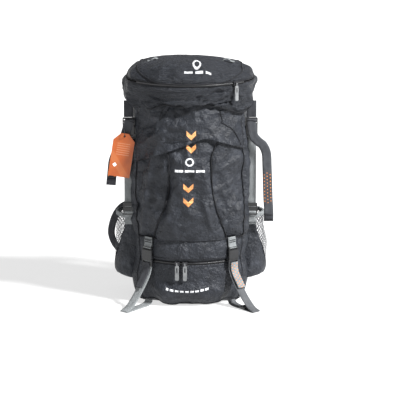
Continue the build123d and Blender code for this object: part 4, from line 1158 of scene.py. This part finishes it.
def build_pockets():
    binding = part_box("pocket_bindings")[1].z
    for name, side in SIDES:
        turn = np.linspace(-math.pi / 2, math.pi / 2, 90)[None, :]
        share = np.linspace(0, 1, 44)[:, None]
        points = pocket_ring(side, turn, share)
        uv = np.stack(np.broadcast_arrays(turn * POCKET_RADIUS, share * (POCKET_HI.z - POCKET_LO.z)), -1)
        if side > 0:
            points, uv = points[:, ::-1], uv[:, ::-1]
        obj = mesh_object(name + "_pocket_net", points.reshape(-1, 3), grid_faces(44, 90), uv.reshape(-1, 2))
        finish_piece(obj, "pack", NET, (name + "_mesh_pocket",))
        edge = math.radians(-62) + math.radians(66) * (1 - share[:, :1]) ** 1.3
        across = np.linspace(0, 1, 30)[None, :]
        part = -math.pi / 2 + (edge + math.pi / 2) * across
        wrinkle = 0.0012 + 0.0014 * crumple(part * 0.06, share * 0.16, 0.03, 63)
        front = pocket_ring(side, part, share + 0 * part, wrinkle)
        front_uv = np.stack(np.broadcast_arrays(part * POCKET_RADIUS, share * (POCKET_HI.z - POCKET_LO.z)), -1)
        if side < 0:
            front, front_uv = front[:, ::-1], front_uv[:, ::-1]
        cloth_front = cloth_grid(name + "_pocket_front", front, front_uv, 0.0010)
        finish_piece(cloth_front, "pack", CLOTH)
        rim = pocket_ring(side, edge[:, 0], share[:, 0], 0.0016)
        cord_tube(name + "_pocket_seam", rim, 0.0012, "pack", PIPING)
        low = pocket_ring(side, turn, np.full((1, 1), 0.0))[0]
        middle = np.array([side * POCKET_LO.x, POCKET_Y, POCKET_LO.z])
        share = np.linspace(0, 1, 8)[:, None, None]
        floor = middle + (low[None] - middle) * share
        floor_cloth = cloth_grid(name + "_pocket_floor", floor, floor[..., :2], 0.0012)
        finish_piece(floor_cloth, "pack", CLOTH_DARK)
        turn = np.linspace(-math.pi / 2, math.pi / 2, 140)
        top = pocket_ring(side, turn, np.full(140, 1.0))
        out = unit(top - np.array([side * POCKET_LO.x, POCKET_Y, top[0, 2]]))
        rings = []
        height = binding - POCKET_HI.z
        for lift, swell in zip(np.linspace(0, height, 9), (0.2, 1.6, 2.1, 1.3, 2.1, 1.3, 2.1, 1.6, 0.2)):
            gather = 1 + 0.35 * np.sin(np.arange(140) * 1.9)
            rings.append(top + out * (swell * gather * MM)[:, None] + UP * lift)
        for lift in np.linspace(height, 0, 5):
            rings.append(top - out * (1.2 * MM) + UP * lift)
        points = np.array(rings)
        uv = np.stack(np.broadcast_arrays((turn * POCKET_RADIUS)[None, :], np.linspace(0, 0.024, 14)[:, None]), -1)
        obj = mesh_object(name + "_pocket_binding", points.reshape(-1, 3), grid_faces(14, 140), uv.reshape(-1, 2))
        make_consistent(obj)
        finish_piece(obj, "pack", GREY_WEB, ("pocket_bindings",) if side > 0 else ())
        for k, edge in enumerate((-math.pi / 2, math.pi / 2)):
            rows_up = np.linspace(0, 1, 30)
            path = pocket_ring(side, np.full(30, edge), rows_up)
            cord_tube(name + "_pocket_edge_%d" % k, path, 0.0018, "pack", PIPING)


build_pockets()

# ---------------------------------------------------------------- straps

SIDE_LO, SIDE_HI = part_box("side_webbing")
WEB = 25 * MM
WEB_THICK = 1.8 * MM
SIDE_X = SIDE_HI.x - WEB / 2
LID_STRAP_Y = -42.1        # millimetres


def at_mm(*points):
    return np.array(points, float) * MM


def stitched_box(name, path, side, width, body, lift, along):
    """Two rows of bar tacks across a strap's sewn end: short thread ridges a little proud of it."""
    path = np.asarray(path, float)
    rows_made = []
    for k in range(2):
        centre = path[0] + (path[1] - path[0]) * (0.25 + 0.5 * k)
        a = centre - np.asarray(side) * width * 0.42 + np.asarray(lift)
        b = centre + np.asarray(side) * width * 0.42 + np.asarray(lift)
        t = np.linspace(0, 1, 41)[:, None]
        zig = np.asarray(along) * (0.0011 * np.where(np.arange(41) % 2, 1, -1))[:, None]
        route = a + (b - a) * t + zig
        rows_made.append(cord_tube(name + "_%d" % k, route, 0.00035, body, DARK_WEB, sides=5))
    return rows_made


def front_radial(side, pairs):
    """Points in the upright plane through a front strap, from distance in front of the cloth and level."""
    out = LOWER.out(np.array(side * STRAP_ANGLE))
    root = LOWER.point(np.array(side * STRAP_ANGLE), LOWER.radius, 0.0)
    return np.array([root + out * (a * MM) + UP * (b * MM) for a, b in pairs])


# Routes in front of the cloth: millimetres out from it, and level
FRONT_LOOP = ((9.2, 123), (6.4, 116), (6.6, 100), (17, 78), (38, 52), (60, 29), (84, 10), (101, 4.2), (104.6, 2.6),
              (101, 1.6), (80, 1.5), (52, 2.2), (26, 2.0), (9, 5.5), (3.0, 13))
FRONT_TAIL = ((11.5, 118), (10.5, 110), (11.5, 101), (17, 88), (30, 71), (43, 55))
FRONT_TAB = ((4.2, 186), (3.6, 172), (4.6, 160), (8.6, 156.4), (10.6, 157.5), (8.2, 160), (5.9, 166),
             (5.6, 180))
BLEND_LOW, BLEND_HIGH = (30, 45), (6, 104)      # between these the strap passes from pack to buckle


def build_front_straps():
    """Each front strap: its loop to the floor, its dark tail, and the sewn tab above the buckle."""
    for (name, side), loop_web, tail_web in zip(SIDES, (GREY_WEB, MID_WEB), (DARK_WEB, FRONT_DOT_WEB)):
        across = LOWER.across(np.array(side * STRAP_ANGLE))
        out = LOWER.out(np.array(side * STRAP_ANGLE))
        low, high = front_radial(side, (BLEND_LOW, BLEND_HIGH))
        strap_obj = strap(name + "_front_strap", front_radial(side, FRONT_LOOP), across, WEB, WEB_THICK, None,
                          loop_web, (name + "_front_webbing",), steps=10)
        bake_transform(strap_obj)
        shift = across * (side * 2.5 * MM)
        route = front_radial(side, FRONT_TAIL) + shift + out * (1.2 * MM)
        tail_obj = strap(name + "_front_tail", route, across, WEB * 0.94, WEB_THICK, None, tail_web,
                         steps=10)
        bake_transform(tail_obj)
        strap(name + "_front_tab", front_radial(side, FRONT_TAB), across, WEB, WEB_THICK, "pack", GREY_WEB,
              ("sewn_tabs",) if side > 0 else (), steps=6)
        stitched_box(name + "_tab_stitch", front_radial(side, [(7.0, 170), (6.8, 180)]), across, WEB, "pack",
                     out * 0.0, UP)


# Routes of the hanging tails: across, behind their middle plane, and level, in millimetres
TAIL_ROUTES = (("right", ((161, 0.6, 491), (163, 0, 474), (167, -0.8, 452), (178, -1.6, 438), (192, -1.0, 426),
                          (201, 0.8, 404), (203, 0.6, 370), (204.5, -0.6, 330), (206, 0.6, 285), (208, -0.4, 252),
                          (208, 0, 220))),
               ("left", ((-160, 0.6, 491), (-164, 0.8, 478), (-171, 1.6, 455), (-181, 2.6, 430), (-195, 3.2, 404),
                         (-203, 3.4, 382), (-206.5, 3.0, 352), (-209.5, 2.6, 318))))


def build_side_straps():
    """Compression straps between ladder locks and lid buckles, their tabs, tails and the lid's short straps."""
    y = (SIDE_LO.y + SIDE_HI.y) / 2 / MM
    x = SIDE_X / MM
    low = SIDE_LO.z / MM
    high = SIDE_HI.z / MM
    for name, side in SIDES:
        k = side * x
        path = at_mm((k, y - 7.5, low - 2), (k, y - 3.5, low + 1), (k, y, low + 9), (k, y + 0.8, (low + high) / 2),
                     (k, y, high - 24), (k, y - 1.5, high - 14), (k, y - 5.8, high - 11), (k, y - 9.6, high - 13))
        strap(name + "_side_strap", path, ALONG_X, WEB, WEB_THICK, "pack", GREY_WEB,
              ("side_webbing",) if side > 0 else (), steps=8)
        tab = at_mm((side * (x + 1), y - 0.2, low - 52), (k, y - 0.2, low - 30), (k, y - 1.5, low - 19),
                    (k, y - 6, low - 14), (k, y - 9.0, low - 16), (k, y - 6.5, low - 22), (k, y - 2.6, low - 31),
                    (k, y - 2.4, low - 45))
        strap(name + "_side_tab", tab, ALONG_X, WEB, WEB_THICK, "pack", GREY_WEB, steps=8)
        inner = at_mm((side * 144, y - 0.2, low - 40), (side * 152, y - 0.2, low - 40))
        strap(name + "_side_tab_root", inner, (0, 0, 1), 0.020, WEB_THICK, "pack", GREY_WEB, steps=4)
        drop = ((2.6, 545), (1.0, 532), (0, 520), (0, 506), (0.2, 500.6))
        short = at_mm(*[(k, LID_STRAP_Y + b, c) for b, c in drop])
        strap(name + "_lid_strap", short, ALONG_X, WEB, WEB_THICK, "lid", DARK_WEB,
              ("lid_webbing",) if side > 0 else (), steps=8)
    tail_y = (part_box("strap_tails")[0].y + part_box("strap_tails")[1].y) / 2 / MM
    for name, points in TAIL_ROUTES:
        path = at_mm(*[(a, tail_y + b, c) for a, b, c in points])
        strap(name + "_strap_tail", path, ALONG_X, WEB, WEB_THICK, "pack", TAIL_WEB,
              ("strap_tails",) if name == "right" else (), steps=8)
        end = path[-1]
        step = unit(path[-2] - path[-1])
        fold = np.array([end + step * (d * MM) + np.array([0, -1.9 * MM, 0]) for d in (0.3, 8, 16, 23)])
        strap(name + "_tail_fold", fold, ALONG_X, WEB * 1.02, WEB_THICK, "pack", DARK_WEB, steps=4)
        stitched_box(name + "_tail_stitch", np.array([fold[0], fold[-1]]), np.array(ALONG_X), WEB, "pack",
                     np.array([0, -1.2 * MM, 0]), step)
        top = path[0]
        over = np.array([top + np.array([0, 0.2, 0]) * MM, top + np.array([1, -1.4, 3.4]) * MM,
                         top + np.array([1.4, 2.2, 5.6]) * MM, top + np.array([1.6, 6.4, 5.0]) * MM])
        over[:, 0] = top[0] + np.sign(top[0]) * (np.abs(over[:, 0]) - abs(top[0]))
        strap(name + "_tail_over", over, ALONG_X, WEB, WEB_THICK, "pack", DARK_WEB, steps=6)


def build_back_straps():
    """Lower webbing bowed out at each side, the haul loop, and the lid's two lash tabs."""
    low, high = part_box("lower_webbing")
    middle_y = (low.y + high.y) / 2 / MM
    for name, side, bow in (("left", -1, 222), ("right", 1, 178)):
        lift = bow - 4
        points = ((104, 45), (132, 52), (156, 66), (lift - 22, 100), (lift - 4, 136), (lift - 6, 170),
                  (lift - 20, 205), (bow - 46, 226), (138, 235), (104, 240))
        path = at_mm(*[(side * a, middle_y + 0.6 * math.sin(b / 19), b) for a, b in points])
        along = unit(np.gradient(path, axis=0))
        flat = np.cross(along, ALONG_Y)
        twist = np.sin(np.linspace(0, math.pi, len(points)))[:, None] ** 1.5
        face = np.array(ALONG_Y) * (1 - 0.75 * twist) + flat * 0.9 * twist
        strap(name + "_lower_strap", path, face, 20 * MM, 1.6 * MM, "pack", DARK_WEB,
              ("lower_webbing",) if side > 0 else (), steps=8)
    low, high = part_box("haul_loop")
    z = (low.z + high.z) / 2 / MM
    half = ((38, 104.4), (36.5, 116), (34.5, 128), (29, 136), (20, 139.2), (8, 139.8))
    points = [(-a, b, z + 1.5 * (b > 130)) for a, b in half]
    points += [(a, b, z + 1.5 * (b > 130)) for a, b in reversed(half)]
    strap("haul_loop_webbing", at_mm(*points), (0, 0, 1), WEB, 2.6 * MM, "pack", DARK_WEB,
          ("haul_loop",), steps=8)
    for name, x, y in (("left", -92, 0), ("right", 96, -6)):
        top = (CROWN_HI.z + 0.0022) / MM
        path = at_mm((x - 21, y, top + 0.4), (x - 12, y, top + 1.4), (x - 7, y, top + 6.2), (x, y, top + 8.2),
                     (x + 7, y, top + 6.2), (x + 12, y, top + 1.4), (x + 21, y, top + 0.2))
        strap(name + "_lash_tab", path, ALONG_Y, 16 * MM, 1.6 * MM, "lid", GREY_WEB, steps=6)


build_front_straps()
build_side_straps()
build_back_straps()

# ---------------------------------------------------------------- padded harness


def puff(name, node, pressure, cap, channels, low_y, voxel=5 * MM, shrink=1.0 * MM):
    """Padded piece blown up by cloth simulation from a slightly smaller copy of the CAD solid.

    Each point moves at most cap and never behind low_y; then channels (points -> depth) are pressed in.
    """
    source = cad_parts[node].data
    mesh = source.copy()
    obj = bpy.data.objects.new(name, mesh)
    bpy.context.scene.collection.objects.link(obj)
    for kind, settings in (("REMESH", {"mode": "VOXEL", "voxel_size": voxel}),
                           ("SMOOTH", {"factor": 0.5, "iterations": 3})):
        modifier = obj.modifiers.new(kind, kind)
        for key, value in settings.items():
            setattr(modifier, key, value)
    take_shape(obj)
    points, normals = vertex_arrays(obj.data)
    start = points - normals * shrink
    obj.data.vertices.foreach_set("co", start.astype(np.float32).ravel())
    cloth = obj.modifiers.new("puff", "CLOTH")
    cloth.settings.use_pressure = True
    cloth.settings.uniform_pressure_force = pressure
    cloth.settings.effector_weights.gravity = 0
    for number in range(1, 21):
        bpy.context.scene.frame_set(number)
    take_shape(obj)
    bpy.context.scene.frame_set(1)
    moved, _ = vertex_arrays(obj.data)
    step = moved - start
    size = np.linalg.norm(step, axis=1, keepdims=True)
    moved = start + step * np.minimum(1, cap / np.maximum(size, 1e-9))
    moved[:, 1] = np.maximum(moved[:, 1], low_y + 0.0002)
    obj.data.vertices.foreach_set("co", moved.astype(np.float32).ravel())
    obj.data.update()
    rounded = obj.modifiers.new("round", "SUBSURF")
    rounded.levels = rounded.render_levels = 1
    take_shape(obj)
    points, normals = vertex_arrays(obj.data)
    depth = channels(points) + 0.0006 * noise(points[:, 0], points[:, 1], points[:, 2], 0.018, 71)
    points = points - normals * depth[:, None]
    points[:, 1] = np.maximum(points[:, 1], low_y + 0.0002)
    obj.data.vertices.foreach_set("co", points.astype(np.float32).ravel())
    obj.data.polygons.foreach_set("use_smooth", np.ones(len(obj.data.polygons), bool))
    obj.data.update()
    return obj


def take_shape(obj):
    """The modifiers' result becomes the object's own mesh."""
    graph = bpy.context.evaluated_depsgraph_get()
    made = bpy.data.meshes.new_from_object(obj.evaluated_get(graph))
    obj.modifiers.clear()
    obj.data = made


def vertex_arrays(mesh):
    """A mesh's points and normals as arrays."""
    count = len(mesh.vertices)
    points = np.empty(count * 3, np.float32)
    normals = np.empty(count * 3, np.float32)
    mesh.vertices.foreach_get("co", points)
    mesh.vertices.foreach_get("normal", normals)
    return points.reshape(-1, 3).astype(float), normals.reshape(-1, 3).astype(float)


def lines_across(values, levels, width, depth):
    """Grooves at the given levels: depth * exp(-(distance/width)^2) from each."""
    return sum(depth * np.exp(-((values - level) / width) ** 2) for level in levels)


def mirrored_piece(obj, name):
    """A copy turned into its mirror image across the middle plane."""
    mesh = obj.data.copy()
    points, _ = vertex_arrays(mesh)
    points[:, 0] *= -1
    mesh.vertices.foreach_set("co", points.astype(np.float32).ravel())
    mesh.flip_normals()
    mesh.update()
    twin = bpy.data.objects.new(name, mesh)
    bpy.context.scene.collection.objects.link(twin)
    return twin


def build_pads():
    """Back pads, lumbar pad, shoulder pads and hip wings, each blown up and grooved."""
    lo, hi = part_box("back_pads")
    rungs = np.linspace(lo.z, hi.z, 7)[1:-1]
    pads = puff("back_pad_foam", "back_pads", 4, 5 * MM,
                lambda p: lines_across(p[:, 2], rungs, 0.0045, 0.0030), BACK)
    finish_piece(pads, "pack", FOAM, ("back_pads",))
    lo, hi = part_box("lumbar_pad")
    ribs = np.linspace(lo.x, hi.x, 6)[1:-1]
    lumbar = puff("lumbar_pad_foam", "lumbar_pad", 4, 4 * MM,
                  lambda p: lines_across(p[:, 0], ribs, 0.005, 0.0030), BACK)
    finish_piece(lumbar, "pack", FOAM, ("lumbar_pad",))
    lo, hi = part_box("right_shoulder_pad")
    middle = (lo.x + hi.x) / 2
    edges = (middle - 0.024, middle + 0.024)
    right = puff("right_shoulder_foam", "right_shoulder_pad", 4, 4 * MM,
                 lambda p: lines_across(p[:, 0], edges, 0.0022, 0.0018), BACK)
    left = mirrored_piece(right, "left_shoulder_foam")
    for obj, name in ((right, "right"), (left, "left")):
        finish_piece(obj, name + "_shoulder_strap", FOAM, (name + "_shoulder_pad",))
    lo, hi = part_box("right_hip_wing")
    right = puff("right_hip_foam", "right_hip_wing", 4, 3 * MM,
                 lambda p: lines_across(p[:, 2] - (lo.z + hi.z) / 2, (-0.016, 0.016), 0.0026, 0.0022), lo.y)
    left = mirrored_piece(right, "left_hip_foam")
    for obj, name in ((right, "right"), (left, "left")):
        finish_piece(obj, name + "_hip_belt", FOAM, (name + "_hip_wing",))


def build_harness_webbing():
    """Webbing along the shoulder pads' outer faces."""
    lo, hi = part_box("right_shoulder_pad")
    middle = (lo.x + hi.x) / 2 / MM
    clear = 1.2
    route = ((508, 112), (520, 124), (527.5, 141), (522, 156), (497, 164.5), (470, 172), (430, 179.6), (385, 180.2),
             (330, 178.0), (300, 172.5), (272, 163.0), (262, 157))
    for name, side in SIDES:
        path = at_mm(*[(side * middle, y + clear, z) for z, y in route])
        strap(name + "_shoulder_webbing", path, ALONG_X, 20 * MM, 1.4 * MM, name + "_shoulder_strap", DARK_WEB,
              steps=8)


build_pads()
build_harness_webbing()

# ---------------------------------------------------------------- carried-over CAD pieces


def keep_cad(names, material):
    """CAD pieces whose shape is right get their own finish in place of the plain one."""
    for name in names:
        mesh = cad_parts[name].data
        mesh.materials.clear()
        mesh.materials.append(material)


keep_cad(["left_sternum_strap", "right_sternum_strap"], DARK_WEB_SOLID)
keep_cad(["buckle_females", "lid_buckle_males", "left_front_buckle_male", "right_front_buckle_male",
          "strap_adjusters", "left_shoulder_ladder_lock", "right_shoulder_ladder_lock",
          "hip_buckle_male", "hip_buckle_female",
          "cord_lock_body", "cord_lock_button"], PLASTIC)
keep_cad(["lower_zip_slider_left", "lower_zip_slider_right", "lid_zip_slider"], SLIDER_METAL)
keep_cad(["lower_zip_pull_left", "lower_zip_pull_right", "lid_zip_pull"], PULL)
keep_cad(["frame_sheet"], FRAME_PLASTIC)
keep_cad(["frame_stays"], STAY_METAL)
keep_cad(["drawcord", "tag_loop"], CORD_FINISH)
TAG_LO, TAG_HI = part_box("hang_tag")
keep_cad(["hang_tag"], tag_card_finish("tag_card", (TAG_LO.x + TAG_HI.x) / 2 + 8 * MM, TAG_HI.z))

# ---------------------------------------------------------------- stage, light and camera


WORLD_LIGHT = 0.30
FLOOR_GLOW = 0.66
FLOOR_HALF = 60.0
#         name, aim, strength, spread in degrees
LIGHTS = (("key", (-0.88, 0.50, -0.92), 8.6, 9), ("fill", (0.9, 0.6, -0.30), 0.55, 40))


def studio():
    """White floor and sky, a key light from the upper right front, and a weak fill from the left."""
    r = FLOOR_HALF
    floor = mesh_object("floor", np.array([(-r, -r, 0), (r, -r, 0), (r, r, 0), (-r, r, 0)], float),
                        np.array([(0, 1, 2, 3)]))
    finish = Finish("floor_white", roughness=1.0)
    source = finish.place()[0]
    tone = finish.ramp(finish.noise(source, 0.4, 1.0), [(0.3, (0.34, 0.34, 0.34)), (0.7, (0.36, 0.36, 0.36))])
    finish.shader.inputs["Emission Color"].default_value = (1, 1, 1, 1)
    finish.shader.inputs["Emission Strength"].default_value = FLOOR_GLOW
    floor.data.materials.append(finish.join(colour=tone))
    world = bpy.data.worlds.new("studio")
    world.use_nodes = True
    world.node_tree.nodes["Background"].inputs[0].default_value = (1, 1, 1, 1)
    world.node_tree.nodes["Background"].inputs[1].default_value = WORLD_LIGHT
    bpy.context.scene.world = world
    for name, aim, power, spread in LIGHTS:
        light = bpy.data.lights.new(name, "SUN")
        light.energy = power
        light.angle = math.radians(spread)
        obj = bpy.data.objects.new(name, light)
        obj.rotation_euler = aim_angles(aim)
        bpy.context.scene.collection.objects.link(obj)


def aim_angles(direction):
    """Euler angles that turn a camera's or light's -Z along the direction, with no roll."""
    d = unit(np.asarray(direction, float))
    tilt = math.acos(-d[2])
    turn = math.atan2(d[1], d[0]) - math.pi / 2
    return (tilt, 0.0, turn)


CAMERA_DISTANCE, CAMERA_HALF_VIEW, CAMERA_RAISE = 7.0, 0.530, 14      # metres, metres, degrees
CAMERA_TARGET = np.array([0.030, -0.10, 0.286])


def add_camera():
    """Long-lens front view, raised by 14 degrees, framed 1.06 m wide at the front face."""
    data = bpy.data.cameras.new("camera")
    raise_angle = math.radians(CAMERA_RAISE)
    view = np.array([0.0, math.cos(raise_angle), -math.sin(raise_angle)])
    camera = bpy.data.objects.new("camera", data)
    camera.location = CAMERA_TARGET - view * CAMERA_DISTANCE
    camera.rotation_euler = aim_angles(view)
    data.angle = 2 * math.atan(CAMERA_HALF_VIEW / CAMERA_DISTANCE)
    data.clip_end = 50
    bpy.context.scene.collection.objects.link(camera)
    bpy.context.scene.camera = camera


studio()
add_camera()
bpy.context.scene.view_settings.view_transform = "Standard"
